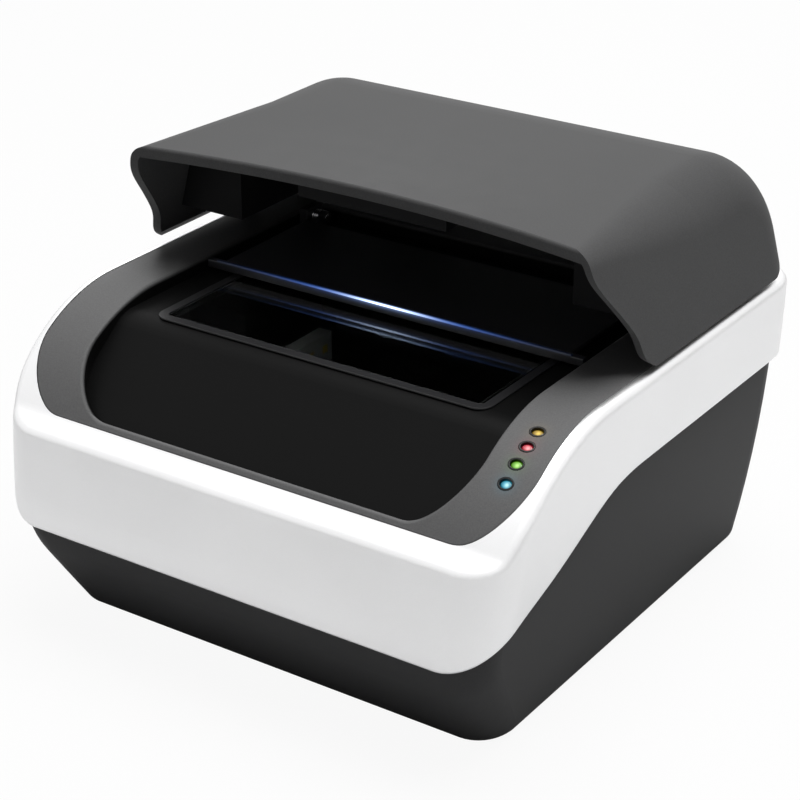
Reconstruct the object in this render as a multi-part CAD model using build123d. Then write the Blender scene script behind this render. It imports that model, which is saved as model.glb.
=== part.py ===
from build123d import *
from math import asin, cos, hypot, pi, radians, sin, sqrt, tan
import os

# Travel document scanner: a tapered base with a metal-coloured band round it, a tray with a
# sunken pocket over a camera, and a hood that is hinged at the rear.
# Millimetres. X runs to the right, Y to the rear, Z up. The origin is on the floor, under
# the middle of the body.

# Half widths, from the press plate out to the body's widest line
PRESS_HALF_WIDTH = 80.6
PRESS_SIDE_GAP = 1.4
POCKET_HALF_WIDTH = PRESS_HALF_WIDTH + PRESS_SIDE_GAP
SHOULDER = 20.55
TRAY_HALF_WIDTH = POCKET_HALF_WIDTH + SHOULDER
TRAY_RIM = 4.45
BODY_HALF_WIDTH = TRAY_HALF_WIDTH + TRAY_RIM

# Body outside: bowed sides, a raked front below the prow, a leaning front above it
BOW_R = 580.0
BOW_Z = 118.0
REAR_Y = 108.0
FLOOR_FRONT_Y = -84.8
PROW_Y = -110.0
PROW_Z = 40.5
PROW_R = 40.0
FRONT_LEAN = 9.6
BODY_CORNER_R = 18.0
SPARE = 20.0
FAR = 140.0

# Crown: the side view's top line, level, then round the nose, then down to a narrow ledge
CROWN_Z = 114.8
NOSE_R = 66.0
NOSE_Y = -38.0
TIP_Y = -95.0
LEDGE_FALL = 15.0
LEDGE_R = 6.0

# Band and the seam under it
SEAM_START_Y = -120.0
SEAM_FRONT_Z = 40.5
SEAM_REAR_Z = 83.0
SEAM_KNEE_Y = -109.0
SEAM_MIDDLE = [(-90.0, 54.0), (-65.0, 64.6), (-35.0, 79.0)]
SEAM_LEVEL_Y = -8.0
BAND_WALL = 2.8
BAND_FLANGE = 2.6
BAND_TOP_R = 3.5
BAND_LOW_R = 1.2
RIM_SLOPE = 0.3
SEAM_GAP = 0.2

# Base
BASE_WALL = 2.5
BASE_BOTTOM_Z = 1.5
BASE_FLOOR = 3.0
BASE_EDGE_R = 4.5
POST_R = 4.5
POST_X = POCKET_HALF_WIDTH + 2.5
POST_YS = [-40.0, 80.0]
POST_TOP_Z = 100.0
POST_WEB = 3.0
HATCH_RIM = 14.5
HATCH_HALF_WIDTH = POST_X - HATCH_RIM
HATCH_FRONT_Y = -60.0
HATCH_REAR_Y = 86.0
HATCH_R = 10.0
FOOT_R = 6.0
FOOT_X = POST_X - POST_R
FOOT_YS = [-70.0, 92.0]
SCREW_R = 1.25
THREAD_GAP = 0.05
SHANK_GAP = 0.2
HEAD_R = 2.6
HEAD_H = 1.7
HEAD_GAP = 0.3
THREAD_END = 2.5
PLATE_THICK = 2.0
PLATE_LAP = 9.0
PLATE_END_LAP = 6.0
PLATE_SCREW_X = HATCH_HALF_WIDTH + PLATE_LAP / 2
PLATE_SCREW_YS = [-52.0, 13.0, 66.0]
PLATE_BOSS_R = 3.0
PLATE_BOSS_H = 3.5

# Tray cover
TRAY_GAP = 0.25
TRAY_FRONT_Y = -94.4
TRAY_REAR_Y = 104.5
TRAY_FRONT_R = 21.0
TRAY_REAR_R = 17.0
TRAY_THICK = 2.5
TRAY_SKIRT_Z = 60.0
POCKET_FRONT_Y = -91.5
POCKET_REAR_Y = 60.0
POCKET_FRONT_R = 20.0
POCKET_REAR_R = 7.0
POCKET_DEPTH = 5.3
POCKET_BEND_Y = -57.0
POCKET_BEND_R = 15.0
POCKET_FALL = 38.0
POCKET_EDGE_R = 1.2
TRAY_EDGE_R = 0.5
EDGE_LEAST = 3.0
TINY = 0.01

# Scan window
GLASS_HALF_WIDTH = 66.0
GLASS_FRONT_Y = -51.0
GLASS_REAR_Y = 41.0
GLASS_THICK = 3.0
GLASS_PROUD = 0.5
GLASS_GAP = 0.3
GLASS_R = 1.5
FRAME_GAP = 0.1
FRAME_WIDTH = 3.6
FRAME_H = 0.8

# Indicators on the right of the nose
LED_OUT = 10.6
LED_X = POCKET_HALF_WIDTH + LED_OUT
LED_YS = {"amber": -59.8, "red": -66.2, "green": -72.6, "blue": -78.8}
LENS_HALF = (2.2, 1.65)
LENS_SINK = 0.6
LENS_DOME_R = 0.8
RING_GAP = 0.05
RING_HALF = (2.9, 2.35)
RING_H = 2.4
RING_PROUD = 0.15
HOLE_GAP = 0.1
LED_BOARD_DEPTH = 5.2
LED_BOARD_WIDTH = 9.0
LED_BOARD_LENGTH = 38.0
LED_POST_R = 1.6
LED_POST_OFFSET = 16.5
BOARD_THICK = 1.6
SEAT_GAP = 0.15

# Camera, lamps and boards in the base
TUNNEL_INSET = 0.5
TUNNEL_WALL = 2.0
SHELF_SIDE = 11.5
SHELF_OUT_X = GLASS_HALF_WIDTH + SHELF_SIDE
SHELF_FRONT_Y = -34.0
SHELF_REAR_Y = 30.0
SHELF_THICK = 1.6
CAMERA_SIDE = 36.0
CAMERA_H = 14.0
CAMERA_FOOT_SIDE = 44.0
CAMERA_FOOT_H = 13.3
CAMERA_FOOT_WALL = 3.0
LENS_BARREL_R = 9.0
LENS_BARREL_H = 14.0
LENS_BORE_R = 6.5
LENS_BORE_DEPTH = 3.0
LAMP_LOW_Z = 60.0
LAMP_H = 12.0
LAMP_THICK = 6.0
LAMP_END_GAP = 2.5
MAIN_HALF_WIDTH = 55.0
MAIN_FRONT_Y = 44.0
MAIN_REAR_Y = 98.0
STANDOFF_R = 3.0
STANDOFF_H = 5.8
STANDOFF_SIDE = 5.0
STANDOFF_X = MAIN_HALF_WIDTH - STANDOFF_SIDE
STANDOFF_FRONT = 6.0
STANDOFF_REAR = 13.0
STANDOFF_YS = [MAIN_FRONT_Y + STANDOFF_FRONT, MAIN_REAR_Y - STANDOFF_REAR]
CHIPS = [(-18.0, 62.0, 16.0, 2.2), (14.0, 66.0, 12.0, 1.8), (34.0, 58.0, 9.0, 1.5)]
SOCKET_SINK = 0.5
SOCKET_DEPTH = 16.0
SOCKET_WALL_GAP = 0.25
USB_X = -22.0
USB_SIZE = (12.0, 10.5)
USB_HOLLOW = (8.5, 7.8)
POWER_X = 10.0
POWER_SIZE = (11.0, 9.0)
POWER_HOLLOW = (8.0, 6.0)
HOLLOW_DEPTH = 9.0

# Hood: leaning side walls, a rounded rear and a visor over the document
HOOD_SIDE_GAP = 0.8
HOOD_HALF_WIDTH = BODY_HALF_WIDTH - HOOD_SIDE_GAP
HOOD_BOTTOM_Z = 116.9
HOOD_TOP_Z = 163.5
HOOD_TAPER = 0.267
HOOD_REAR_Y = 106.6
HOOD_BACK_R = 38.0
HOOD_CORNER_R = 22.0
CORNER_FRONT_Y = 40.0
HOOD_EDGE_R = 6.0
EDGE_START_Y = -40.0
LEAST_R = 0.4
HOOD_WALL = 3.0
WALL_SLOPE_LEAST = 0.9
HOOD_FRONT_Y = -4.0
HOOD_FRONT_START = (-1.0, 0.25)
NOSE_TIP_Y = -34.4
NOSE_DROP = 1.1
NOSE_TIP_Z = HOOD_TOP_Z - NOSE_DROP
NOSE_BACK = 1.1
QUARTER_ANGLE = 90.0
# Points of the front curve: distance behind the nose, and share of the way up to it
HOOD_FRONT_CURVE = [(25.0, 0.08), (22.2, 0.225), (17.4, 0.393), (10.0, 0.583), (3.6, 0.75), (0.8, 0.88)]
FRONT_PULL = 0.3
LIP_X = 96.0
LIP_R = 450.0
LIP_ANGLE = 18.0
RIM_FACE = 4.4
RIM_Z = HOOD_TOP_Z - RIM_FACE
RIM_DEPTH = 3.0
BEVEL_RISE = 3.8
RELIEF_RISE = 1.9
RELIEF_SIDE = 11.8
RELIEF_HALF_WIDTH = HOOD_HALF_WIDTH - RELIEF_SIDE

# Liner: two side pods, a ceiling and a lamp housing inside the hood
POD_OVERHANG = 11.3
POD_INNER_X = POCKET_HALF_WIDTH - POD_OVERHANG
POD_FRONT_Y = -1.0
POD_REAR_Y = 58.0
POD_BOTTOM_Z = 129.3
CEILING_THICK = 2.0
CEILING_DROP = 4.5
CEILING_Z = HOOD_TOP_Z - HOOD_WALL - CEILING_DROP
POD_WALL = 2.0
HOUSING_HALF_WIDTH = 31.0
HOUSING_REACH = 18.0
HOUSING_FRONT_Y = POD_FRONT_Y - HOUSING_REACH
HOUSING_H = 3.5
HOUSING_Z = CEILING_Z - HOUSING_H
POD_GAP = 0.4
LINER_BOSS_R = 4.0
LINER_SCREW_X = 40.0
LINER_SCREW_YS = [12.0, 46.0]
LINER_SEAT_GAP = 0.1
LINER_TIP_GAP = 0.5

# Hood hinge
PIVOT_Y = 103.5
PIVOT_Z = 119.5
KNUCKLE_X = 55.0
KNUCKLE_R = 3.3
KNUCKLE_HALF = 7.0
KNUCKLE_GAP = 0.3
EAR_THICK = 4.0
PIN_R = 1.5
PIN_FIXED_GAP = 0.02
PIN_RUN_GAP = 0.05
PIN_HEAD_R = 2.4
PIN_HEAD_H = 0.8
FOOT_PLATE_HALF = 13.0
FOOT_PLATE_FRONT_Y = 84.0
FOOT_PLATE_REAR_Y = 99.0
FOOT_PLATE_H = 1.8
HINGE_SCREW_OFFSET = 8.0
HINGE_SCREW_Y = 88.5
NOTCH_GAP = 0.5
NOTCH_TOP_GAP = 1.2
ARM_FRONT_GAP = 0.3
ARM_TOP_Z = 126.0

# Rubber bumpers under the hood's side walls
BUMPER_R = 3.0
BUMPER_H = 2.4
BUMPER_SIDE = 3.55
BUMPER_X = TRAY_HALF_WIDTH - BUMPER_SIDE
BUMPER_YS = [40.0, 78.0]
BUMPER_BOSS_R = 3.5
BUMPER_BOSS_H = 11.0
BUMPER_GAP = 0.1

# Sprung press plate that holds the document down
PRESS_FRONT_Y = -10.0
PRESS_BAR_DEPTH = 3.0
PRESS_BAR_Z = 111.4
PRESS_TOP_Z = 114.4
PRESS_PLATE_THICK = 2.0
PRESS_PLATE_REAR_Y = 44.0
BEARING_SIDE_GAP = 0.6
BEARING_THICK = 3.7
BEARING_X = PRESS_HALF_WIDTH - BEARING_SIDE_GAP - BEARING_THICK
SPRING_ROOM = 3.3
PRESS_ARM_THICK = 3.0
PRESS_ARM_X = BEARING_X - SPRING_ROOM - PRESS_ARM_THICK
PRESS_ARM_INSET = 1.0
PRESS_PLATE_HALF_WIDTH = PRESS_ARM_X + PRESS_ARM_THICK + PRESS_ARM_INSET
PRESS_EYE_R = 2.6
PRESS_PIVOT_Y = 52.0
PRESS_PIVOT_Z = 113.5
PRESS_PIN_R = 1.45
BEARING_DEPTH = 10.0
BEARING_ABOVE = 3.5
SPRING_R = 2.4
SPRING_WIRE_R = 0.25
SPRING_TURNS = 2.5
SPRING_PITCH = 0.95
SPRING_END_GAP = 0.2
STRIP_END = 4.6
STRIP_HALF_WIDTH = PRESS_HALF_WIDTH - STRIP_END
STRIP_H = 0.6
STRIP_DEPTH = 1.5
STRIP_PROUD = 0.2
PAD_HALF_WIDTH = 60.0
PAD_FRONT_Y = 0.0
PAD_DEPTH = 30.0
PAD_THICK = 1.2

# Heights and insets that follow
BASE_INSET = BAND_WALL + SEAM_GAP
FLOOR_TOP_Z = BASE_BOTTOM_Z + BASE_FLOOR
PLATE_TOP_Z = FLOOR_TOP_Z + PLATE_THICK
POCKET_Z = CROWN_Z - POCKET_DEPTH
GLASS_LOW_Z = POCKET_Z + GLASS_PROUD - GLASS_THICK
TUNNEL_TOP_Z = GLASS_LOW_Z - LINER_SEAT_GAP
CAMERA_Z = PLATE_TOP_Z + SEAT_GAP + CAMERA_FOOT_H
MAIN_Z = PLATE_TOP_Z + STANDOFF_H
RELIEF_Z = HOOD_BOTTOM_Z + RELIEF_RISE
SKY_Z = HOOD_TOP_Z + SPARE


def box(x_low, x_high, y_low, y_high, z_low, z_high):
    """Box between two corners."""
    middle = Pos((x_low + x_high) / 2, (y_low + y_high) / 2, (z_low + z_high) / 2)
    return middle * Box(x_high - x_low, y_high - y_low, z_high - z_low)


def rod(radius, start, length, direction=(0, 0, 1)):
    """Cylinder that leaves a point in a direction."""
    base = (Align.CENTER, Align.CENTER, Align.MIN)
    return Plane(origin=start, z_dir=direction) * Cylinder(radius, length, align=base)


def along_x(face):
    """Side-view face swept right across the object."""
    return extrude(Plane.YZ * face, amount=FAR, both=True)


def along_y(face):
    """Front-view face swept from before the object to behind it."""
    return extrude(Plane.XZ * face, amount=FAR, both=True)


def upright(plan, z_low, z_high):
    """Plan face raised from one height to another."""
    return extrude(Pos(0, 0, z_low) * plan, amount=z_high - z_low)


def both_sides(solids):
    """The given solids and their images on the left."""
    return [*solids, *[mirror(solid, Plane.YZ) for solid in solids]]


def plan(half_width, front_y, rear_y, front_r, rear_r):
    """Rectangle seen from above, with its own radii at the front and at the rear."""
    face = Pos(0, (front_y + rear_y) / 2) * Rectangle(2 * half_width, rear_y - front_y)
    face = fillet(face.vertices().group_by(Axis.Y)[0], front_r)
    return fillet(face.vertices().group_by(Axis.Y)[-1], rear_r)


def body_half_width(z):
    """Half the body's width at a height."""
    return BODY_HALF_WIDTH - BOW_R + sqrt(BOW_R ** 2 - (BOW_Z - z) ** 2)


def body_block(inset):
    """The body's outside moved in by an inset, without a top or a bottom of its own."""
    rake = (PROW_Y - FLOOR_FRONT_Y) / PROW_Z
    high_z = CROWN_Z + SPARE
    high_front = PROW_Y + tan(radians(FRONT_LEAN)) * (high_z - PROW_Z)
    outline = [
        (FLOOR_FRONT_Y - rake * SPARE, -SPARE),
        (PROW_Y, PROW_Z),
        (high_front, high_z),
        (REAR_Y, high_z),
        (REAR_Y, -SPARE),
    ]
    side = make_face(Polyline(*outline, close=True))
    side = fillet(side.vertices().sort_by(Axis.X)[0], PROW_R)
    heights = [-SPARE, (high_z - SPARE) / 2, high_z]
    right = [(body_half_width(z), z) for z in heights]
    left = [(-x, z) for x, z in right]
    ends = [Line(left[0], right[0]), Line(left[-1], right[-1])]
    front = make_face([ThreePointArc(*right), ThreePointArc(*left), *ends])
    if inset:
        side = offset(side, -inset)
        front = offset(front, -inset)
    block = along_x(side) & along_y(front)
    corners = block.edges().filter_by(lambda edge: edge.bounding_box().size.Z > TINY)
    return fillet(corners, BODY_CORNER_R - inset)


def nose_z(y):
    """Height of the nose's arc."""
    return CROWN_Z - NOSE_R + sqrt(NOSE_R ** 2 - (y - NOSE_Y) ** 2)


def under_crown(inset):
    """All that lies under the crown, with the crown moved in by an inset."""
    tip = (TIP_Y, nose_z(TIP_Y))
    middle_y = (TIP_Y + NOSE_Y) / 2
    ledge_end = (-FAR, tip[1] - tan(radians(LEDGE_FALL)) * (FAR + TIP_Y))
    path = [
        Line(ledge_end, tip),
        ThreePointArc(tip, (middle_y, nose_z(middle_y)), (NOSE_Y, CROWN_Z)),
        Polyline((NOSE_Y, CROWN_Z), (FAR, CROWN_Z), (FAR, -SPARE), (-FAR, -SPARE), ledge_end),
    ]
    face = make_face(path)
    face = fillet(face.vertices().filter_by(lambda v: abs(v.X - TIP_Y) < TINY), LEDGE_R)
    if inset:
        face = offset(face, -inset)
    return along_x(face)


def over_seam():
    """All that lies over the band's lower edge."""
    start = (SEAM_START_Y, SEAM_FRONT_Z)
    knee = (SEAM_KNEE_Y, SEAM_FRONT_Z)
    level = (SEAM_LEVEL_Y, SEAM_REAR_Z)
    path = [
        Line(start, knee),
        Spline(knee, *SEAM_MIDDLE, level, tangents=[(1, 1), (1, 0)]),
        Polyline(level, (FAR, SEAM_REAR_Z), (FAR, SKY_Z), (start[0], SKY_Z), start),
    ]
    return along_x(make_face(path))


def outer_rim(slab, side):
    """Outside edges of a slab's upper faces, for side 1, or of its lower faces, for -1."""
    edges = []
    for face in slab.faces().filter_by(lambda face: face.normal_at().Z * side > RIM_SLOPE):
        for edge in face.edges():
            middle = edge @ 0.5
            across = middle.Y > REAR_Y - 1 or middle.Y < TIP_Y - LEDGE_R
            if across or abs(middle.X) > body_half_width(middle.Z) - BODY_CORNER_R:
                edges.append(edge)
    return ShapeList(edges)


def tray_plan(gap):
    """The tray cover's outline with a gap round it."""
    radii = (TRAY_FRONT_R + gap, TRAY_REAR_R + gap)
    return plan(TRAY_HALF_WIDTH + gap, TRAY_FRONT_Y - gap, TRAY_REAR_Y + gap, *radii)


def pocket_plan(gap):
    """The pocket's outline with a wall round it."""
    radii = (POCKET_FRONT_R + gap, POCKET_REAR_R + gap)
    return plan(POCKET_HALF_WIDTH + gap, POCKET_FRONT_Y - gap, POCKET_REAR_Y + gap, *radii)


def over_pocket_floor(drop):
    """All that lies over the pocket's floor, with the floor moved down."""
    fall = tan(radians(POCKET_FALL))
    front_z = POCKET_Z - fall * (FAR + POCKET_BEND_Y)
    outline = [
        (-FAR, front_z),
        (POCKET_BEND_Y, POCKET_Z),
        (FAR, POCKET_Z),
        (FAR, SKY_Z),
        (-FAR, SKY_Z),
    ]
    face = make_face(Polyline(*outline, close=True))
    bend = face.vertices().filter_by(lambda v: abs(v.X - POCKET_BEND_Y) < TINY)
    face = fillet(bend, POCKET_BEND_R)
    if drop:
        face = offset(face, drop)
    return along_x(face)


def screw(x, y, seat_z, tip_z, side=1):
    """Screw whose head rests against seat_z, with side 1 for a tip that points up."""
    head = rod(HEAD_R, (x, y, seat_z), HEAD_H, (0, 0, -side))
    return head + rod(SCREW_R, (x, y, seat_z), abs(tip_z - seat_z), (0, 0, side))


def silver_band():
    """Band round the body between the seam and the crown, with a flange over the base."""
    slab = body_block(0) & under_crown(0) & over_seam()
    slab = fillet(outer_rim(slab, 1), BAND_TOP_R)
    slab = fillet(outer_rim(slab, -1), BAND_LOW_R)
    hollow = body_block(BAND_WALL) & under_crown(BAND_FLANGE)
    return slab - hollow - upright(tray_plan(TRAY_GAP), -SPARE, SKY_Z)


def post_places():
    """Screw posts of the base, all four."""
    return [(side * POST_X, y) for side in (1, -1) for y in POST_YS]


def plate_screw_places():
    """Screws of the base plate, all six."""
    return [(side * PLATE_SCREW_X, y) for side in (1, -1) for y in PLATE_SCREW_YS]


def socket_box(x, size, low_z, y_low, y_high, gap=0.0):
    """Block of a rear socket's outside with a gap round it."""
    half = size[0] / 2 + gap
    return box(x - half, x + half, y_low, y_high, low_z - gap, low_z + size[1] + gap)


def base_shell():
    """Tapered base with a hatch below, posts for the cover and openings for the sockets."""
    outside = body_block(BASE_INSET) & under_crown(BAND_FLANGE + SEAM_GAP)
    outside &= box(-FAR, FAR, -FAR, FAR, BASE_BOTTOM_Z, SKY_Z)
    outside = fillet(outside.edges().group_by(Axis.Z)[0], BASE_EDGE_R)
    inside = body_block(BASE_INSET + BASE_WALL) & box(-FAR, FAR, -FAR, FAR, FLOOR_TOP_Z, SKY_Z)
    hatch = plan(HATCH_HALF_WIDTH, HATCH_FRONT_Y, HATCH_REAR_Y, HATCH_R, HATCH_R)
    shell = outside - inside - upright(hatch, -SPARE, SKY_Z)
    for x, y in post_places():
        well_top = POST_TOP_Z - POST_WEB
        shell += rod(POST_R, (x, y, FLOOR_TOP_Z), POST_TOP_Z - FLOOR_TOP_Z)
        shell -= rod(HEAD_R + HEAD_GAP, (x, y, 0), well_top)
        shell -= rod(SCREW_R + SHANK_GAP, (x, y, 0), SKY_Z)
    for x, y in plate_screw_places():
        shell -= rod(HEAD_R + HEAD_GAP, (x, y, 0), BASE_BOTTOM_Z + HEAD_H + SEAT_GAP)
        shell -= rod(SCREW_R + SHANK_GAP, (x, y, 0), SPARE)
    for x, size in ((USB_X, USB_SIZE), (POWER_X, POWER_SIZE)):
        sockets_z = MAIN_Z + BOARD_THICK
        shell -= socket_box(x, size, sockets_z, MAIN_REAR_Y, FAR, SOCKET_WALL_GAP)
    return shell


def base_plate():
    """Plate over the hatch, with screw bosses and the main board's standoffs."""
    edge = HATCH_HALF_WIDTH + PLATE_LAP
    front, rear = HATCH_FRONT_Y - PLATE_END_LAP, HATCH_REAR_Y + PLATE_END_LAP
    plate = upright(plan(edge, front, rear, HATCH_R, HATCH_R), FLOOR_TOP_Z, PLATE_TOP_Z)
    for x, y in plate_screw_places():
        plate += rod(PLATE_BOSS_R, (x, y, FLOOR_TOP_Z), PLATE_THICK + PLATE_BOSS_H)
        plate -= rod(SCREW_R + THREAD_GAP, (x, y, FLOOR_TOP_Z), SPARE)
    for x, y in standoff_places():
        plate += rod(STANDOFF_R, (x, y, FLOOR_TOP_Z), MAIN_Z - FLOOR_TOP_Z)
        plate -= rod(SCREW_R + THREAD_GAP, (x, y, PLATE_TOP_Z), SPARE)
    return plate


def standoff_places():
    """Standoffs under the main board, all four."""
    return [(side * STANDOFF_X, y) for side in (1, -1) for y in STANDOFF_YS]


def base_screws():
    """Screws that hold the base plate from below."""
    seat = BASE_BOTTOM_Z + HEAD_H + SEAT_GAP
    tip = PLATE_TOP_Z + PLATE_BOSS_H - THREAD_END / 2
    return [screw(x, y, seat, tip) for x, y in plate_screw_places()]


def cover_screws():
    """Long screws through the posts into the tray cover."""
    seat = POST_TOP_Z - POST_WEB
    return [screw(x, y, seat, POCKET_Z - TRAY_THICK - THREAD_END / 2) for x, y in post_places()]


def board_screws():
    """Screws that hold the main board."""
    seat = MAIN_Z + BOARD_THICK
    tip = PLATE_TOP_Z + THREAD_END / 2
    return [screw(x, y, seat, tip, -1) for x, y in standoff_places()]


def rubber_feet():
    """Round feet under the corners."""
    return both_sides([rod(FOOT_R, (FOOT_X, y, 0), BASE_BOTTOM_Z) for y in FOOT_YS])


def led_plane(y):
    """Plane on the nose at one indicator, square to the surface."""
    tilt = asin((NOSE_Y - y) / NOSE_R)
    return Plane(origin=(LED_X, y, nose_z(y)), x_dir=(1, 0, 0), z_dir=(0, -sin(tilt), cos(tilt)))


def oval(half_sizes, gap, z_low, z_high):
    """Upright oval with a gap round it, between two heights."""
    return upright(Ellipse(half_sizes[0] + gap, half_sizes[1] + gap), z_low, z_high)


def led_board_plane():
    """Plane of the indicator board's top, parallel to the row of lenses."""
    places = list(LED_YS.values())
    first = Vector(LED_X, places[0], nose_z(places[0]))
    last = Vector(LED_X, places[-1], nose_z(places[-1]))
    normal = Vector(1, 0, 0).cross(first - last).normalized()
    middle = (first + last) * 0.5
    return Plane(origin=middle - normal * LED_BOARD_DEPTH, x_dir=(1, 0, 0), z_dir=normal)


def crown_edges(cover, outer):
    """Edges in the crown's surface, round the outside or round the pocket."""
    edges = []
    for edge in cover.edges().filter_by(lambda edge: edge.length > EDGE_LEAST):
        middle = edge @ 0.5
        crown = CROWN_Z if middle.Y > NOSE_Y else nose_z(max(middle.Y, NOSE_Y - NOSE_R))
        if abs(middle.Z - crown) > 5 * TINY or middle.Y < TIP_Y:
            continue
        in_pocket = abs(middle.X) < POCKET_HALF_WIDTH + TINY and middle.Y < POCKET_REAR_Y + TINY
        if in_pocket != outer:
            edges.append(edge)
    return ShapeList(edges)


def tray_cover():
    """Cover with the nose, the sunken pocket, the window opening and the indicator holes."""
    lid = upright(tray_plan(0), TRAY_SKIRT_Z, SKY_Z) & under_crown(0)
    kept = upright(pocket_plan(TRAY_THICK), -SPARE, SKY_Z) & over_pocket_floor(TRAY_THICK)
    for x, y in post_places():
        kept += rod(POST_R, (x, y, POST_TOP_Z + 2 * LINER_SEAT_GAP), SPARE)
    for end in (1, -1):
        place = led_board_plane() * Pos(0, end * LED_POST_OFFSET, 0)
        kept += place * Cylinder(LED_POST_R, SPARE, align=(Align.CENTER, Align.CENTER, Align.MIN))
    cover = lid - (under_crown(TRAY_THICK) - kept)
    cover = fillet(crown_edges(cover, True), TRAY_EDGE_R)
    cover -= upright(pocket_plan(0), -SPARE, SKY_Z) & over_pocket_floor(0)
    cover = fillet(crown_edges(cover, False), POCKET_EDGE_R)
    cover -= glass_block(GLASS_GAP, -SPARE, SKY_Z)
    for x, y in post_places():
        cover -= rod(SCREW_R + THREAD_GAP, (x, y, 0), POCKET_Z - TRAY_THICK)
    for y in LED_YS.values():
        cover -= led_plane(y) * oval(RING_HALF, HOLE_GAP, -SPARE, SPARE)
    for x in (KNUCKLE_X, -KNUCKLE_X):
        for side in (1, -1):
            hole_x = x + side * HINGE_SCREW_OFFSET
            cover -= rod(SCREW_R + THREAD_GAP, (hole_x, HINGE_SCREW_Y, 0), SKY_Z)
    return cover


def glass_block(gap, z_low, z_high):
    """The scan glass's outline with a gap round it, between two heights."""
    edges = (GLASS_FRONT_Y - gap, GLASS_REAR_Y + gap)
    outline = plan(GLASS_HALF_WIDTH + gap, *edges, GLASS_R + gap, GLASS_R + gap)
    return upright(outline, z_low, z_high)


def scan_glass():
    """Glass that the document lies on."""
    return glass_block(0, GLASS_LOW_Z, GLASS_LOW_Z + GLASS_THICK)


def glass_frame():
    """Thin raised frame round the glass."""
    inner = GLASS_GAP + FRAME_GAP
    top = POCKET_Z + FRAME_H
    return glass_block(inner + FRAME_WIDTH, POCKET_Z, top) - glass_block(inner, 0, SKY_Z)


def indicator_rings():
    """Bezel ring round each lens."""
    ring = oval(RING_HALF, 0, RING_PROUD - RING_H, RING_PROUD)
    ring -= oval(LENS_HALF, RING_GAP, -SPARE, SPARE)
    return [led_plane(y) * ring for y in LED_YS.values()]


def lens(y):
    """Domed lens that stands on the indicator board."""
    top = oval(LENS_HALF, 0, -SPARE, -LENS_SINK)
    top = fillet(top.edges().sort_by(Axis.Z)[-1], LENS_DOME_R)
    below = Pos(0, 0, SEAT_GAP) * Box(FAR, FAR, FAR, align=(Align.CENTER, Align.CENTER, Align.MAX))
    return led_plane(y) * top - led_board_plane() * below


def indicator_board():
    """Small board under the lenses, on two posts of the cover."""
    size = (LED_BOARD_WIDTH, LED_BOARD_LENGTH, BOARD_THICK)
    return led_board_plane() * Box(*size, align=(Align.CENTER, Align.CENTER, Align.MAX))


def light_tunnel():
    """Dark square tunnel from the base plate to the glass, with shelves at its sides."""
    low = PLATE_TOP_Z + SEAT_GAP
    tunnel = glass_block(-TUNNEL_INSET, low, TUNNEL_TOP_Z)
    shelf_top = POCKET_Z - TRAY_THICK - SEAT_GAP - BOARD_THICK
    shelf_low = shelf_top - SHELF_THICK
    tunnel += box(-SHELF_OUT_X, SHELF_OUT_X, SHELF_FRONT_Y, SHELF_REAR_Y, shelf_low, shelf_top)
    bore = (GLASS_HALF_WIDTH - TUNNEL_INSET - TUNNEL_WALL, GLASS_FRONT_Y + TUNNEL_INSET + TUNNEL_WALL)
    return tunnel - box(-bore[0], bore[0], bore[1], GLASS_REAR_Y - TUNNEL_INSET - TUNNEL_WALL, 0, SKY_Z)


def antenna_board():
    """Radio antenna board on the tunnel's right shelf."""
    top = POCKET_Z - TRAY_THICK - SEAT_GAP
    inner = GLASS_HALF_WIDTH + GLASS_GAP + THREAD_END
    front, rear = SHELF_FRONT_Y + GLASS_GAP, SHELF_REAR_Y - GLASS_GAP
    return box(inner, SHELF_OUT_X - GLASS_GAP, front, rear, top - BOARD_THICK, top)


def camera_place():
    """Middle of the glass, where the camera looks up."""
    return (GLASS_FRONT_Y + GLASS_REAR_Y) / 2


def camera_bracket():
    """Open box that carries the camera on the base plate."""
    y = camera_place()
    half = CAMERA_FOOT_SIDE / 2
    low = PLATE_TOP_Z + SEAT_GAP
    bracket = box(-half, half, y - half, y + half, low, CAMERA_Z)
    room = half - CAMERA_FOOT_WALL
    return bracket - box(-room, room, y - FAR, y + FAR, low - 1, CAMERA_Z - CAMERA_FOOT_WALL)


def camera_module():
    """Camera body."""
    y = camera_place()
    half = CAMERA_SIDE / 2
    return box(-half, half, y - half, y + half, CAMERA_Z, CAMERA_Z + CAMERA_H)


def camera_lens():
    """Lens barrel with a shallow front recess."""
    y = camera_place()
    low = CAMERA_Z + CAMERA_H
    barrel = rod(LENS_BARREL_R, (0, y, low), LENS_BARREL_H)
    recess_z = low + LENS_BARREL_H - LENS_BORE_DEPTH
    return barrel - rod(LENS_BORE_R, (0, y, recess_z), SPARE)


def light_bar():
    """Lamp bar on the tunnel's right wall."""
    outer = GLASS_HALF_WIDTH - TUNNEL_INSET - TUNNEL_WALL - SEAT_GAP
    inset = TUNNEL_INSET + TUNNEL_WALL + LAMP_END_GAP
    front, rear = GLASS_FRONT_Y + inset, GLASS_REAR_Y - inset
    return box(outer - LAMP_THICK, outer, front, rear, LAMP_LOW_Z, LAMP_LOW_Z + LAMP_H)


def main_board():
    """Main board with its larger chips."""
    edges = (-MAIN_HALF_WIDTH, MAIN_HALF_WIDTH, MAIN_FRONT_Y, MAIN_REAR_Y)
    board = box(*edges, MAIN_Z, MAIN_Z + BOARD_THICK)
    for x, y, side, height in CHIPS:
        half = side / 2
        board += box(x - half, x + half, y - half, y + half, MAIN_Z, MAIN_Z + BOARD_THICK + height)
    for x, y in standoff_places():
        board -= rod(SCREW_R + SHANK_GAP, (x, y, 0), SKY_Z)
    return board


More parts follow.
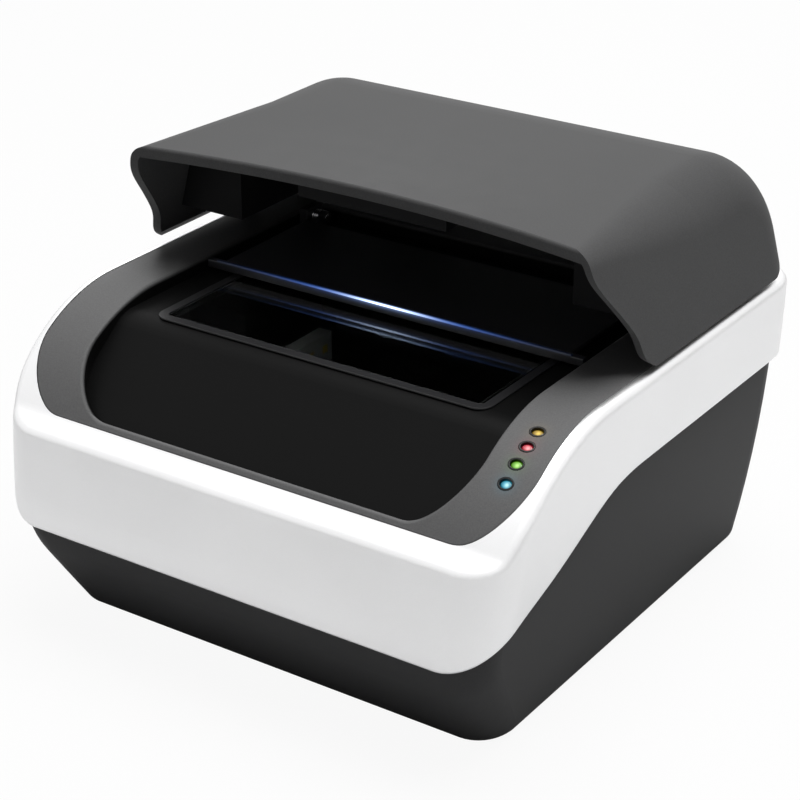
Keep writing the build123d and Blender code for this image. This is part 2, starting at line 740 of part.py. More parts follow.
def rear_socket(x, size, hollow):
    """Hollow socket on the main board that shows in the rear wall."""
    face_y = REAR_Y - BASE_INSET - SOCKET_SINK
    low = MAIN_Z + BOARD_THICK
    body = socket_box(x, size, low, face_y - SOCKET_DEPTH, face_y)
    hollow_z = low + (size[1] - hollow[1]) / 2
    return body - socket_box(x, hollow, hollow_z, face_y - HOLLOW_DEPTH, FAR)


def hood_half_width(z, inset):
    """Half the hood's width at a height, its walls moved in by an inset."""
    return HOOD_HALF_WIDTH - HOOD_TAPER * (z - HOOD_BOTTOM_Z) - inset * hypot(1, HOOD_TAPER)


def hood_section(inset, radius):
    """Front view of the hood's outside moved in by an inset, with its upper corners rounded."""
    low, top = HOOD_BOTTOM_Z - SPARE, HOOD_TOP_Z - inset
    wide, narrow = hood_half_width(low, inset), hood_half_width(top, inset)
    face = Polygon((-wide, low), (wide, low), (narrow, top), (-narrow, top), align=None)
    if radius:
        face = fillet(face.vertices().group_by(Axis.Y)[-1], radius)
    return face


def hood_block(inset):
    """The hood's outside moved in by an inset, open-ended at the front and below."""
    top, back_y = HOOD_TOP_Z - inset, HOOD_REAR_Y - inset
    side = make_face(Polyline((-FAR, 0), (back_y, 0), (back_y, top), (-FAR, top), close=True))
    corner = side.vertices().filter_by(lambda v: v.X > 0 and v.Y > 0)
    rear = along_y(hood_section(inset, 0)) & along_x(fillet(corner, HOOD_BACK_R - inset))
    walls = rear.faces().filter_by(lambda face: abs(face.normal_at().X) > WALL_SLOPE_LEAST)
    chain = walls.edges().filter_by(lambda edge: (edge @ 0.5).Z > HOOD_BOTTOM_Z - SPARE / 2)
    rear = fillet(chain.filter_by(lambda edge: (edge @ 0.5).Y > SPARE - FAR), HOOD_CORNER_R - inset)
    rear &= box(-FAR, FAR, CORNER_FRONT_Y, FAR, 0, SKY_Z)
    radii = {EDGE_START_Y: max(HOOD_EDGE_R - inset, LEAST_R), CORNER_FRONT_Y: HOOD_CORNER_R - inset}
    sections = [Plane.XZ.offset(-y) * hood_section(inset, radius) for y, radius in radii.items()]
    return rear + loft(sections, ruled=True)


def hood_front():
    """All that lies behind the hood's front, a side view that is turned about a far axis."""
    start = (HOOD_FRONT_Y, HOOD_BOTTOM_Z)
    rise = NOSE_TIP_Z - HOOD_BOTTOM_Z
    points = [(NOSE_TIP_Y + back, HOOD_BOTTOM_Z + share * rise) for back, share in HOOD_FRONT_CURVE]
    tip = (NOSE_TIP_Y, NOSE_TIP_Z)
    top = (NOSE_TIP_Y + NOSE_BACK, HOOD_TOP_Z)
    middle = (NOSE_TIP_Y + NOSE_BACK, NOSE_TIP_Z)
    pulls = [FRONT_PULL, FRONT_PULL]
    path = [
        Spline(start, *points, tip, tangents=[HOOD_FRONT_START, (0, 1)], tangent_scalars=pulls),
        EllipticalCenterArc(middle, NOSE_BACK, NOSE_DROP, start_angle=QUARTER_ANGLE, arc_size=QUARTER_ANGLE),
        Polyline(top, (top[0], SKY_Z), (FAR, SKY_Z), (FAR, HOOD_BOTTOM_Z), start),
    ]
    bow = LIP_R - sqrt(LIP_R ** 2 - LIP_X ** 2)
    axis = Axis((0, NOSE_TIP_Y + bow - LIP_R, 0), (0, 0, 1))
    face = Plane.YZ * (Pos(bow, 0) * make_face(path))
    return revolve(face.rotate(axis, -LIP_ANGLE), axis, 2 * LIP_ANGLE)


def hood_cavity():
    """Room inside the hood's walls, held back from the rim that stiffens the visor's edge."""
    rim = box(-FAR, FAR, -FAR, FAR, RIM_Z, SKY_Z) - Pos(0, RIM_DEPTH, 0) * hood_front()
    return hood_block(HOOD_WALL) - rim


def knuckle_places():
    """Middles of the two hinge knuckles."""
    return [KNUCKLE_X, -KNUCKLE_X]


def hood_shell():
    """Hood with its bevelled lower edges, bumper bosses, liner bosses and hinge knuckles."""
    shell = (hood_block(0) & hood_front()) - hood_cavity()
    bevel_z = HOOD_BOTTOM_Z + BEVEL_RISE
    inner_x = hood_half_width(bevel_z, HOOD_WALL)
    outer_x = HOOD_HALF_WIDTH
    bevel = Polygon(
        (outer_x, HOOD_BOTTOM_Z),
        (inner_x, bevel_z),
        (inner_x - HOOD_WALL, bevel_z),
        (inner_x - HOOD_WALL, HOOD_BOTTOM_Z - 1),
        (outer_x, HOOD_BOTTOM_Z - 1),
        align=None,
    )
    for side in both_sides([along_y(bevel)]):
        shell -= side
    rear_low = HOOD_REAR_Y - 2 * HOOD_WALL
    shell -= box(-RELIEF_HALF_WIDTH, RELIEF_HALF_WIDTH, rear_low, FAR, 0, RELIEF_Z)
    inside = hood_block(HOOD_WALL / 2)
    boss_z = CROWN_Z + BUMPER_H + BUMPER_GAP
    bosses = [rod(BUMPER_BOSS_R, (BUMPER_X, y, boss_z), BUMPER_BOSS_H) for y in BUMPER_YS]
    for boss in both_sides(bosses):
        shell += boss & inside
    liner_z = CEILING_Z + CEILING_THICK + LINER_SEAT_GAP
    for x, y in liner_screw_places():
        shell += rod(LINER_BOSS_R, (x, y, liner_z), SPARE) & inside
        shell -= rod(SCREW_R + THREAD_GAP, (x, y, 0), liner_z + THREAD_END)
    half = KNUCKLE_HALF + KNUCKLE_GAP + EAR_THICK + NOTCH_GAP
    notch_top = PIVOT_Z + KNUCKLE_R + NOTCH_TOP_GAP
    for x in knuckle_places():
        shell -= box(x - half, x + half, rear_low, FAR, 0, notch_top)
        shell += rod(KNUCKLE_R, (x - KNUCKLE_HALF, PIVOT_Y, PIVOT_Z), 2 * KNUCKLE_HALF, (1, 0, 0))
        front = HOOD_REAR_Y - HOOD_WALL + ARM_FRONT_GAP
        shell += box(x - KNUCKLE_HALF, x + KNUCKLE_HALF, front, HOOD_REAR_Y, PIVOT_Z, ARM_TOP_Z)
        shell -= rod(PIN_R + PIN_RUN_GAP, (x - half, PIVOT_Y, PIVOT_Z), 2 * half, (1, 0, 0))
    return shell


def liner_screw_places():
    """Screws of the liner, all four."""
    return [(side * LINER_SCREW_X, y) for side in (1, -1) for y in LINER_SCREW_YS]


def hood_liner():
    """Ceiling with a hollow pod at each side and a lamp housing, inside the hood."""
    top = CEILING_Z + CEILING_THICK
    housing = HOUSING_HALF_WIDTH
    liner = box(-FAR, FAR, POD_FRONT_Y, POD_REAR_Y, CEILING_Z, top)
    liner += box(-housing, housing, HOUSING_FRONT_Y, POD_FRONT_Y, HOUSING_Z, top)
    room_x = POD_INNER_X + POD_WALL
    room = box(room_x, FAR, POD_FRONT_Y + POD_WALL, FAR, POD_BOTTOM_Z + POD_WALL, CEILING_Z)
    room &= hood_block(HOOD_WALL + POD_GAP + POD_WALL)
    pods = [box(POD_INNER_X, FAR, POD_FRONT_Y, POD_REAR_Y, POD_BOTTOM_Z, CEILING_Z) - room]
    for pod in both_sides(pods):
        liner += pod
    liner &= hood_block(HOOD_WALL + POD_GAP)
    for x, y in liner_screw_places():
        liner -= rod(SCREW_R + SHANK_GAP, (x, y, 0), SKY_Z)
    return liner


def liner_screws():
    """Screws that hold the liner to the hood."""
    tip = CEILING_Z + CEILING_THICK + LINER_SEAT_GAP + THREAD_END - LINER_TIP_GAP
    return [screw(x, y, CEILING_Z, tip) for x, y in liner_screw_places()]


def hinge_bracket(x):
    """Bracket on the tray cover with two ears round a knuckle."""
    plate_top = CROWN_Z + FOOT_PLATE_H
    plate_y = (FOOT_PLATE_FRONT_Y, FOOT_PLATE_REAR_Y)
    bracket = box(x - FOOT_PLATE_HALF, x + FOOT_PLATE_HALF, *plate_y, CROWN_Z, plate_top)
    gusset = Polygon(
        (FOOT_PLATE_REAR_Y - FOOT_PLATE_HALF / 2, CROWN_Z),
        (FOOT_PLATE_REAR_Y, CROWN_Z),
        (PIVOT_Y + KNUCKLE_R, PIVOT_Z),
        (PIVOT_Y, PIVOT_Z + KNUCKLE_R),
        align=None,
    )
    profile = gusset + Pos(PIVOT_Y, PIVOT_Z) * Circle(KNUCKLE_R)
    inner = KNUCKLE_HALF + KNUCKLE_GAP
    for start in (x + inner, x - inner - EAR_THICK):
        bracket += Pos(start, 0, 0) * extrude(Plane.YZ * profile, amount=EAR_THICK)
    bracket -= rod(PIN_R + PIN_FIXED_GAP, (x - SPARE, PIVOT_Y, PIVOT_Z), 2 * SPARE, (1, 0, 0))
    for side in (1, -1):
        place = (x + side * HINGE_SCREW_OFFSET, HINGE_SCREW_Y, 0)
        bracket -= rod(SCREW_R + SHANK_GAP, place, SKY_Z)
    return bracket


def hinge_pin(x):
    """Pin through a bracket's ears and the hood's knuckle, with a head at one end."""
    half = KNUCKLE_HALF + KNUCKLE_GAP + EAR_THICK
    pin = rod(PIN_R, (x - half, PIVOT_Y, PIVOT_Z), 2 * half, (1, 0, 0))
    return pin + rod(PIN_HEAD_R, (x - half, PIVOT_Y, PIVOT_Z), PIN_HEAD_H / 2, (-1, 0, 0))


def hinge_screws():
    """Screws that hold the hinge brackets to the tray cover."""
    seat = CROWN_Z + FOOT_PLATE_H
    tip = CROWN_Z - TRAY_THICK
    spots = [x + side * HINGE_SCREW_OFFSET for x in knuckle_places() for side in (1, -1)]
    return [screw(x, HINGE_SCREW_Y, seat, tip, -1) for x in spots]


def cover_bumpers():
    """Rubber bumpers on the tray cover, under the hood's bosses."""
    return both_sides([rod(BUMPER_R, (BUMPER_X, y, CROWN_Z), BUMPER_H) for y in BUMPER_YS])


def press_plate():
    """Bar and plate that press on the document, with two arms to the pivot."""
    rear = PRESS_FRONT_Y + PRESS_BAR_DEPTH
    width = PRESS_HALF_WIDTH
    press = box(-width, width, PRESS_FRONT_Y, rear, PRESS_BAR_Z, PRESS_TOP_Z)
    plate_z = PRESS_TOP_Z - PRESS_PLATE_THICK
    half = PRESS_PLATE_HALF_WIDTH
    press += box(-half, half, rear, PRESS_PLATE_REAR_Y, plate_z, PRESS_TOP_Z)
    overlap = PRESS_PLATE_REAR_Y - PRESS_EYE_R
    arm_end = PRESS_ARM_X + PRESS_ARM_THICK
    arm = box(PRESS_ARM_X, arm_end, overlap, PRESS_PIVOT_Y, plate_z, PRESS_TOP_Z)
    pivot = (PRESS_ARM_X, PRESS_PIVOT_Y, PRESS_PIVOT_Z)
    arm += rod(PRESS_EYE_R, pivot, PRESS_ARM_THICK, (1, 0, 0))
    arm -= rod(PRESS_PIN_R + PIN_RUN_GAP, pivot, PRESS_ARM_THICK, (1, 0, 0))
    for side in both_sides([arm]):
        press += side
    return press


def press_bearing():
    """Bearing block on the pocket's floor at the right of the press plate."""
    y_low = PRESS_PIVOT_Y - BEARING_DEPTH / 2
    y_high = PRESS_PIVOT_Y + BEARING_DEPTH / 2
    end_x = BEARING_X + BEARING_THICK
    block = box(BEARING_X, end_x, y_low, y_high, POCKET_Z, PRESS_PIVOT_Z + BEARING_ABOVE)
    pivot = (BEARING_X, PRESS_PIVOT_Y, PRESS_PIVOT_Z)
    return block - rod(PRESS_PIN_R + PIN_RUN_GAP, pivot, BEARING_THICK, (1, 0, 0))


def press_pins():
    """Pins from the press plate's arms into the bearings."""
    length = BEARING_X + BEARING_THICK - PRESS_ARM_X
    pivot = (PRESS_ARM_X, PRESS_PIVOT_Y, PRESS_PIVOT_Z)
    return both_sides([rod(PRESS_PIN_R, pivot, length, (1, 0, 0))])


def press_springs():
    """Coil spring round each pin, between arm and bearing."""
    height = SPRING_TURNS * SPRING_PITCH
    start = BEARING_X - SPRING_END_GAP - SPRING_WIRE_R - height
    coil = Helix(pitch=SPRING_PITCH, height=height, radius=SPRING_R)
    wire = sweep(Plane(coil @ 0, z_dir=coil % 0) * Circle(SPRING_WIRE_R), path=coil)
    place = Plane(origin=(start, PRESS_PIVOT_Y, PRESS_PIVOT_Z), z_dir=(1, 0, 0))
    return both_sides([place * wire])


def spring_gap():
    """Least gap between neighbouring turns of a spring, measured on points of its wire."""
    steps = 144
    start = Vector(SPRING_R, 0, 0)
    angles = [pi + 2 * pi * i / steps for i in range(steps + 1)]
    rise = SPRING_PITCH / (2 * pi)
    wire = [Vector(SPRING_R * cos(a), SPRING_R * sin(a), rise * a) for a in angles]
    return min((point - start).length for point in wire) - 2 * SPRING_WIRE_R


def light_strip():
    """Glowing strip along the press plate's front edge."""
    front = PRESS_FRONT_Y - STRIP_PROUD
    top = PRESS_TOP_Z + STRIP_H
    half = STRIP_HALF_WIDTH
    return box(-half, half, front, front + STRIP_DEPTH, PRESS_TOP_Z, top)


def press_pad():
    """Foam pad under the press plate."""
    top = PRESS_TOP_Z - PRESS_PLATE_THICK
    half = PAD_HALF_WIDTH
    return box(-half, half, PAD_FRONT_Y, PAD_FRONT_Y + PAD_DEPTH, top - PAD_THICK, top)


def left_of(solid):
    """The image of a right-hand piece on the left."""
    return mirror(solid, Plane.YZ)


def all_nodes():
    """Every sub-part by name, as a shape or a list of separate solids."""
    nodes = {
        "base_shell": base_shell(),
        "base_plate": base_plate(),
        "base_screws": base_screws(),
        "rubber_feet": rubber_feet(),
        "silver_band": silver_band(),
        "tray_cover": tray_cover(),
        "cover_screws": cover_screws(),
        "cover_bumpers": cover_bumpers(),
        "scan_glass": scan_glass(),
        "glass_frame": glass_frame(),
        "indicator_rings": indicator_rings(),
        "indicator_board": indicator_board(),
        "light_tunnel": light_tunnel(),
        "antenna_board": antenna_board(),
        "light_bar_right": light_bar(),
        "light_bar_left": left_of(light_bar()),
        "camera_bracket": camera_bracket(),
        "camera_module": camera_module(),
        "camera_lens": camera_lens(),
        "main_board": main_board(),
        "board_screws": board_screws(),
        "usb_socket": rear_socket(USB_X, USB_SIZE, USB_HOLLOW),
        "power_socket": rear_socket(POWER_X, POWER_SIZE, POWER_HOLLOW),
        "hood_shell": hood_shell(),
        "hood_liner": hood_liner(),
        "liner_screws": liner_screws(),
        "hinge_bracket_right": hinge_bracket(KNUCKLE_X),
        "hinge_bracket_left": hinge_bracket(-KNUCKLE_X),
        "hinge_pin_right": hinge_pin(KNUCKLE_X),
        "hinge_pin_left": hinge_pin(-KNUCKLE_X),
        "hinge_screws": hinge_screws(),
        "press_plate": press_plate(),
        "press_bearing_right": press_bearing(),
        "press_bearing_left": left_of(press_bearing()),
        "press_pins": press_pins(),
        "press_springs": press_springs(),
        "press_pad": press_pad(),
        "light_strip": light_strip(),
    }
    for colour, y in LED_YS.items():
        nodes[f"lens_{colour}"] = lens(y)
    return nodes


os.makedirs("parts", exist_ok=True)
for name, shape in all_nodes().items():
    solids = shape if isinstance(shape, list) else [shape]
    whole = solids[0] if len(solids) == 1 else Compound(children=solids)
    export_step(whole, f"parts/{name}.step")
print(f"least gap between a spring's turns: {spring_gap():.2f} mm")
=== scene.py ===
import logging
from dataclasses import dataclass, field
from enum import Enum
from math import asin, pi, radians, sqrt
from typing import Callable, Mapping, Protocol, Sequence, Union

import bmesh
import bpy
from mathutils import Matrix, Vector


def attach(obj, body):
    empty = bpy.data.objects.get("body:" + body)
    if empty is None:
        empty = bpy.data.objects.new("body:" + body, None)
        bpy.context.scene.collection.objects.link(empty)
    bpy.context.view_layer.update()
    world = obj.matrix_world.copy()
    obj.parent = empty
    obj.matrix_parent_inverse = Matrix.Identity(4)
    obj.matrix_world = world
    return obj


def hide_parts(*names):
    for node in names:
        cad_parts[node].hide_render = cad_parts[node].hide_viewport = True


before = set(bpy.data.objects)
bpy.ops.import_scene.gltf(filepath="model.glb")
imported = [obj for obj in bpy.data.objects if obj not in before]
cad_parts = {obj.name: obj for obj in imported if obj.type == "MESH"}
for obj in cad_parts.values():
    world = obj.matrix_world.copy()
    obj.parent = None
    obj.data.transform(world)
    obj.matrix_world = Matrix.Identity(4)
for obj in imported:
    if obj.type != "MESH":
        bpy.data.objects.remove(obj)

MM = 0.001
WHITE = (1.0, 1.0, 1.0)
BLACK = (0.0, 0.0, 0.0)
# Share of each lens's colour painted as glow on the tray round it
GLOW_SHARE = 0.12
RIGHT, REAR, UP = Vector((1.0, 0.0, 0.0)), Vector((0.0, 1.0, 0.0)), Vector((0.0, 0.0, 1.0))
ALONG = 0.9  # least part of a direction that counts as along an axis
ACROSS = 0.1  # largest part that counts as square to it
TOUCH = 0.01  # millimetres within which two places are one
SMOOTH_ANGLE = radians(32.0)
SHARP_ANGLE = radians(35.0)
FLAT_ANGLE = radians(0.2)
MERGE_MM = 0.004
CROWN_Z = 114.8  # top of the tray
NOSE_Y = -38.0  # where the tray starts to round off to the front
NOSE_RADIUS = 66.0

Colour = tuple[float, float, float]
Point = tuple[float, float, float]
Plan = tuple[float, float]
Socket = bpy.types.NodeSocket
log = logging.getLogger("scanner")


class Body(Enum):
    """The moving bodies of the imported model."""

    BASE = "base"
    HOOD = "hood"
    PRESS = "press"


class Slot(Enum):
    """The finishes that the record names."""

    BASE = "base_plastic"
    TRAY = "tray_plastic"
    HOOD = "hood_plastic"
    LINER = "liner_plastic"
    TUNNEL = "tunnel_plastic"
    PRESS = "press_plastic"
    FRAME = "frame_plastic"
    BAND = "band_silver"
    GLASS = "window_glass"
    BEZEL = "bezel_black"
    SCREW = "screw_steel"
    BLACK_SCREW = "screw_black"
    PIN = "pin_steel"
    SPRING = "spring_steel"
    BRACKET = "bracket_steel"
    SOCKET = "socket_steel"
    SOCKET_BODY = "socket_black"
    BOARD = "board_green"
    LAMP_BOARD = "board_white"
    CAMERA = "camera_body"
    RUBBER = "rubber"
    FOAM = "foam"
    STRIP = "light_guide"
    AMBER = "lens_amber"
    RED = "lens_red"
    GREEN = "lens_green"
    BLUE = "lens_blue"


class Pick(Enum):
    """What a selection in edit mode is made of."""

    FACES = "FACE"
    EDGES = "EDGE"


# Shader nodes


def operator(operation: str, reflected: bool = False) -> Callable[["Value", "Number"], "Value"]:
    """A method for one operator, which adds a Math node, with the value last if reflected."""

    def method(self: "Value", other: "Number") -> "Value":
        """Work on the value and one other."""
        return self.math(operation, *((other, self) if reflected else (self, other)))

    return method


class Value:
    """A number that changes over a surface, on which operators add Math nodes."""

    def __init__(self, nodes: "Nodes", socket: Socket) -> None:
        """Keep the socket and the tree that it is in."""
        self.nodes = nodes
        self.socket = socket

    def math(self, operation: str, *values: "Number") -> "Value":
        """Add one Math node, with its inputs in order."""
        node = self.nodes.add("ShaderNodeMath", {"operation": operation}, dict(enumerate(values)))
        return Value(self.nodes, node.outputs[0])

    __add__, __radd__ = operator("ADD"), operator("ADD", True)
    __sub__, __rsub__ = operator("SUBTRACT"), operator("SUBTRACT", True)
    __mul__, __rmul__ = operator("MULTIPLY"), operator("MULTIPLY", True)
    __truediv__, __rtruediv__ = operator("DIVIDE"), operator("DIVIDE", True)
    __gt__, __lt__ = operator("GREATER_THAN"), operator("LESS_THAN")
    at_most, at_least = operator("MINIMUM"), operator("MAXIMUM")

    def __abs__(self) -> "Value":
        """Size without the sign."""
        return self.math("ABSOLUTE", self)

    def root(self) -> "Value":
        """Square root."""
        return self.math("SQRT", self)

    def wrapped(self, step: float) -> "Value":
        """Distance into a pattern that repeats at each step."""
        return self.math("WRAP", self, step, 0.0)

    def clamped(self) -> "Value":
        """The value held between 0 and 1."""
        return self.at_least(0.0).at_most(1.0)

    def swing(self, size: float) -> "Value":
        """How far the value is from 0.5, times a size."""
        return (self - 0.5) * size

    def hump(self, middle: float, width: float) -> "Value":
        """Bell curve over the value, 1 at its middle."""
        off = (self - middle) / width
        curve = off * off * -1.0
        return curve.math("EXPONENT", curve)


Number = Union[Value, float]
Settings = Mapping[str, object]
Feeds = Mapping[Union[str, int], object]


class Nodes:
    """The node tree of a material or of the world."""

    def __init__(self, tree: bpy.types.NodeTree) -> None:
        """Start with an empty tree."""
        self.tree = tree
        tree.nodes.clear()

    def add(
        self, kind: str, settings: Settings | None = None, feeds: Feeds | None = None
    ) -> bpy.types.Node:
        """Add a node.

        Args:
            kind: Blender's name of the node's type.
            settings: Properties, which are set first.
            feeds: Value, socket or constant for each input, by name or place.

        Returns:
            The node.
        """
        node = self.tree.nodes.new(kind)
        for name, value in (settings or {}).items():
            setattr(node, name, value)
        for name, value in (feeds or {}).items():
            self.feed(node.inputs[name], value)
        return node

    def feed(self, socket: Socket, value: object) -> None:
        """Link an input to a value or a socket, or set it to a number or a tuple."""
        if isinstance(value, Value):
            value = value.socket
        if isinstance(value, Socket):
            self.tree.links.new(value, socket)
        elif isinstance(value, tuple) and socket.type == "RGBA":
            socket.default_value = (*value, 1.0)
        else:
            socket.default_value = value

    def place(self) -> Socket:
        """Place on the object, in metres."""
        return self.add("ShaderNodeTexCoord").outputs["Object"]

    def axes(self) -> tuple[Value, Value, Value]:
        """Place on the object along X, Y and Z, in millimetres."""
        split = self.add("ShaderNodeSeparateXYZ", None, {0: self.place()})
        return tuple(Value(self, output) / MM for output in split.outputs)

    def distance(self, centre: Point) -> Value:
        """Distance from a point, both in millimetres."""
        point = tuple(v * MM for v in centre)
        node = self.add("ShaderNodeVectorMath", {"operation": "DISTANCE"}, {0: self.place(), 1: point})
        return Value(self, node.outputs["Value"]) / MM

    def noise(self, size_mm: float, detail: float = 2.0, stretch: Point = (1.0, 1.0, 1.0)) -> Value:
        """Soft noise from 0 to 1, by its grains' size, its finer layers and its stretch on each axis."""
        scale = tuple(1.0 / v for v in stretch)
        mapped = self.add("ShaderNodeMapping", None, {"Vector": self.place(), "Scale": scale})
        feeds = {"Vector": mapped.outputs[0], "Scale": 1.0 / (size_mm * MM), "Detail": detail}
        return Value(self, self.add("ShaderNodeTexNoise", None, feeds).outputs[0])

    def cells(self, size_mm: float, feature: str = "F1") -> Value:
        """Distance within a pattern of cells, in cells, measured as Blender names it."""
        feeds = {"Vector": self.place(), "Scale": 1.0 / (size_mm * MM)}
        return Value(self, self.add("ShaderNodeTexVoronoi", {"feature": feature}, feeds).outputs[0])

    def blend(self, share: Number, first: object, second: object, kind: str = "MIX") -> Socket:
        """Mix two colours or sockets by the share of the second, in a way that Blender names."""
        settings = {"data_type": "RGBA", "blend_type": kind}
        return self.add("ShaderNodeMix", settings, {0: share, 6: first, 7: second}).outputs[2]

    def shades(self, share: Number, colour: Colour, dark: float, light: float) -> Socket:
        """Mix a darker and a lighter shade of one colour."""
        return self.blend(share, tinted(colour, dark), tinted(colour, light))

    def bump(self, height: Value, depth_mm: float) -> Socket:
        """Normal of a relief whose height goes from 0 to 1."""
        feeds = {"Height": height, "Distance": depth_mm * MM, "Strength": 1.0}
        return self.add("ShaderNodeBump", None, feeds).outputs[0]

    def surface(self, **feeds: object) -> None:
        """Close the tree with one shader, whose inputs are named with _ for each space."""
        named = {name.replace("_", " "): value for name, value in feeds.items()}
        shader = self.add("ShaderNodeBsdfPrincipled", None, named)
        self.add("ShaderNodeOutputMaterial", None, {"Surface": shader.outputs[0]})


def tinted(colour: Colour, factor: float) -> Colour:
    """A colour made darker or lighter by a factor."""
    return tuple(min(part * factor, 1.0) for part in colour)


# Finishes


class Finish(Protocol):
    """What a material can be dressed with."""

    def dress(self, nodes: Nodes) -> None:
        """Build the finish's nodes."""


@dataclass(frozen=True)
class Glow:
    """Painted glow: light that one lit piece throws on what is round it, painted there as emission."""

    centre: Point
    colour: Colour
    reach: float = 3.4


@dataclass(frozen=True)
class MouldedPlastic:
    """Matt plastic from a textured mould, a little polished where hands touch it, with painted glow round
    any lit pieces near by.
    """

    colour: Colour
    roughness: float = 0.5
    specular: float = 0.4
    grain_mm: float = 0.5
    grain_depth: float = 0.02
    cloud_mm: float = 38.0
    cloud_contrast: float = 0.2
    polish_at: Point | None = None
    polish_reach: float = 60.0
    glows: tuple[Glow, ...] = ()

    def dress(self, nodes: Nodes) -> None:
        """Build the finish's nodes."""
        grain = nodes.noise(self.grain_mm, 3.0)
        cloud = nodes.noise(self.cloud_mm, 1.0)
        tone = (cloud.swing(self.cloud_contrast) + grain.swing(0.9) + 0.5).clamped()
        rough = cloud.swing(0.05) + grain.swing(0.2) + self.roughness
        if self.polish_at:
            near = nodes.distance(self.polish_at).hump(0.0, self.polish_reach)
            rough = rough - near * nodes.noise(9.0, 4.0) * 0.2
        nodes.surface(
            Base_Color=self.with_painted_shade(nodes, nodes.shades(tone, self.colour, 0.72, 1.28)),
            Roughness=rough,
            Specular_IOR_Level=self.specular,
            Normal=nodes.bump(grain, self.grain_depth),
            **self.lit(nodes),
        )

    def with_painted_shade(self, nodes: Nodes, colour: Socket) -> Socket:
        """The colour with any painted shade over it."""
        return colour

    def lit(self, nodes: Nodes) -> dict[str, object]:
        """The shader's inputs for painted light from the lit pieces near by, as emission round each one."""
        if not self.glows:
            return {}
        light: object = BLACK
        for glow in self.glows:
            share = nodes.distance(glow.centre).hump(0.0, glow.reach)
            light = nodes.blend(share, light, glow.colour, "ADD")
        return {"Emission_Color": light, "Emission_Strength": 1.0}


@dataclass(frozen=True)
class TrayPlastic(MouldedPlastic):
    """Plastic of the tray, with painted shade that makes its pocket near black."""

    # Painted shade: the pocket takes the tray's colour times this factor, near black.
    pocket_shade: float = 0.025
    pocket_x: float = 82.3
    pocket_y: Plan = (-91.8, 60.3)
    start: float = 0.1
    edge: float = 1.6

    def shade(self, nodes: Nodes) -> Value:
        """How much painted shade falls: 0 on the crown and the nose, 1 in the pocket."""
        x, y, z = nodes.axes()
        ahead = (NOSE_Y - y).at_least(0.0)
        crown = (NOSE_RADIUS**2 - ahead * ahead).at_least(0.0).root()
        sunk = ((crown + (CROWN_Z - NOSE_RADIUS) - z - self.start) / self.edge).clamped()
        inside = (abs(x) < self.pocket_x) * (y > self.pocket_y[0]) * (y < self.pocket_y[1])
        return sunk * inside

    def with_painted_shade(self, nodes: Nodes, colour: Socket) -> Socket:
        """The colour with the pocket's painted shade over it."""
        return nodes.blend(self.shade(nodes), colour, tinted(self.colour, self.pocket_shade))


@dataclass(frozen=True)
class PressPlastic(MouldedPlastic):
    """Plastic of the press bar, with painted light along its edge from the strip that lies on it."""

    edge_y: float = -9.4
    edge_z: float = 114.7
    reach: float = 1.1
    strength: float = 0.3
    halo_half: float = 34.0
    core_half: float = 16.0
    halo: Colour = (0.03, 0.12, 0.6)
    core: Colour = (0.5, 0.7, 1.0)

    def lit(self, nodes: Nodes) -> dict[str, object]:
        """Painted light from the strip, as emission on the bar, strongest in the middle of the bar."""
        x, y, z = nodes.axes()
        near = y.hump(self.edge_y, self.reach) * z.hump(self.edge_z, self.reach)
        core = x.hump(0.0, self.core_half) * near * self.strength
        edge = x.hump(0.0, self.halo_half) * near * self.strength
        blue = nodes.blend(edge, BLACK, self.halo, "ADD")
        return {"Emission_Color": nodes.blend(core, blue, self.core, "ADD"), "Emission_Strength": 1.0}


@dataclass(frozen=True)
class SatinPaint:
    """Silver paint with fine flake under a satin skin."""

    colour: Colour
    metallic: float = 0.88
    roughness: float = 0.36
    flake_mm: float = 0.16

    def dress(self, nodes: Nodes) -> None:
        """Build the finish's nodes."""
        flake = nodes.cells(self.flake_mm)
        cloud = nodes.noise(52.0, 2.0)
        peel = nodes.noise(1.6, 2.0)
        tone = (flake.swing(0.5) + cloud.swing(0.5) + 0.5).clamped()
        nodes.surface(
            Base_Color=nodes.shades(tone, self.colour, 0.93, 1.07),
            Metallic=(flake * 0.12 + self.metallic).clamped(),
            Roughness=cloud.swing(0.1) + flake * 0.06 + self.roughness,
            Normal=nodes.bump(peel, 0.004),
            Coat_Weight=0.25,
            Coat_Roughness=0.28,
        )


@dataclass(frozen=True)
class WindowGlass:
    """Clear glass with a few faint finger marks."""

    colour: Colour

    def dress(self, nodes: Nodes) -> None:
        """Build the finish's nodes."""
        smear = (nodes.noise(14.0, 3.0) - 0.52).at_least(0.0) * 0.7
        ridges = nodes.noise(0.6, 1.0, (1.0, 5.0, 1.0))
        nodes.surface(
            Base_Color=nodes.blend(smear.clamped(), self.colour, tinted(self.colour, 0.86)),
            Roughness=(smear * ridges + 0.02).clamped(),
            Transmission_Weight=1.0,
            IOR=1.5,
        )


@dataclass(frozen=True)
class Rubber:
    """Soft rubber with dust in its pores."""

    colour: Colour
    roughness: float = 0.82
    pore_mm: float = 0.35
    dust: Colour = (0.12, 0.115, 0.11)

    def dress(self, nodes: Nodes) -> None:
        """Build the finish's nodes."""
        pores = nodes.noise(self.pore_mm, 3.0)
        dust = (nodes.noise(5.0, 4.0) - 0.45).at_least(0.0)
        nodes.surface(
            Base_Color=nodes.blend((dust * 1.4).clamped(), self.colour, self.dust),
            Roughness=pores.swing(0.2) + self.roughness,
            Specular_IOR_Level=0.25,
            Normal=nodes.bump(pores, 0.05),
        )


@dataclass(frozen=True)
class OpenFoam:
    """Foam with open cells."""

    colour: Colour
    cell_mm: float = 0.9

    def dress(self, nodes: Nodes) -> None:
        """Build the finish's nodes."""
        cells = nodes.cells(self.cell_mm, "SMOOTH_F1")
        nodes.surface(
            Base_Color=nodes.shades(cells.clamped(), self.colour, 0.35, 1.6),
            Roughness=0.95 - cells * 0.1,
            Specular_IOR_Level=0.1,
            Normal=nodes.bump(cells, 0.3),
        )


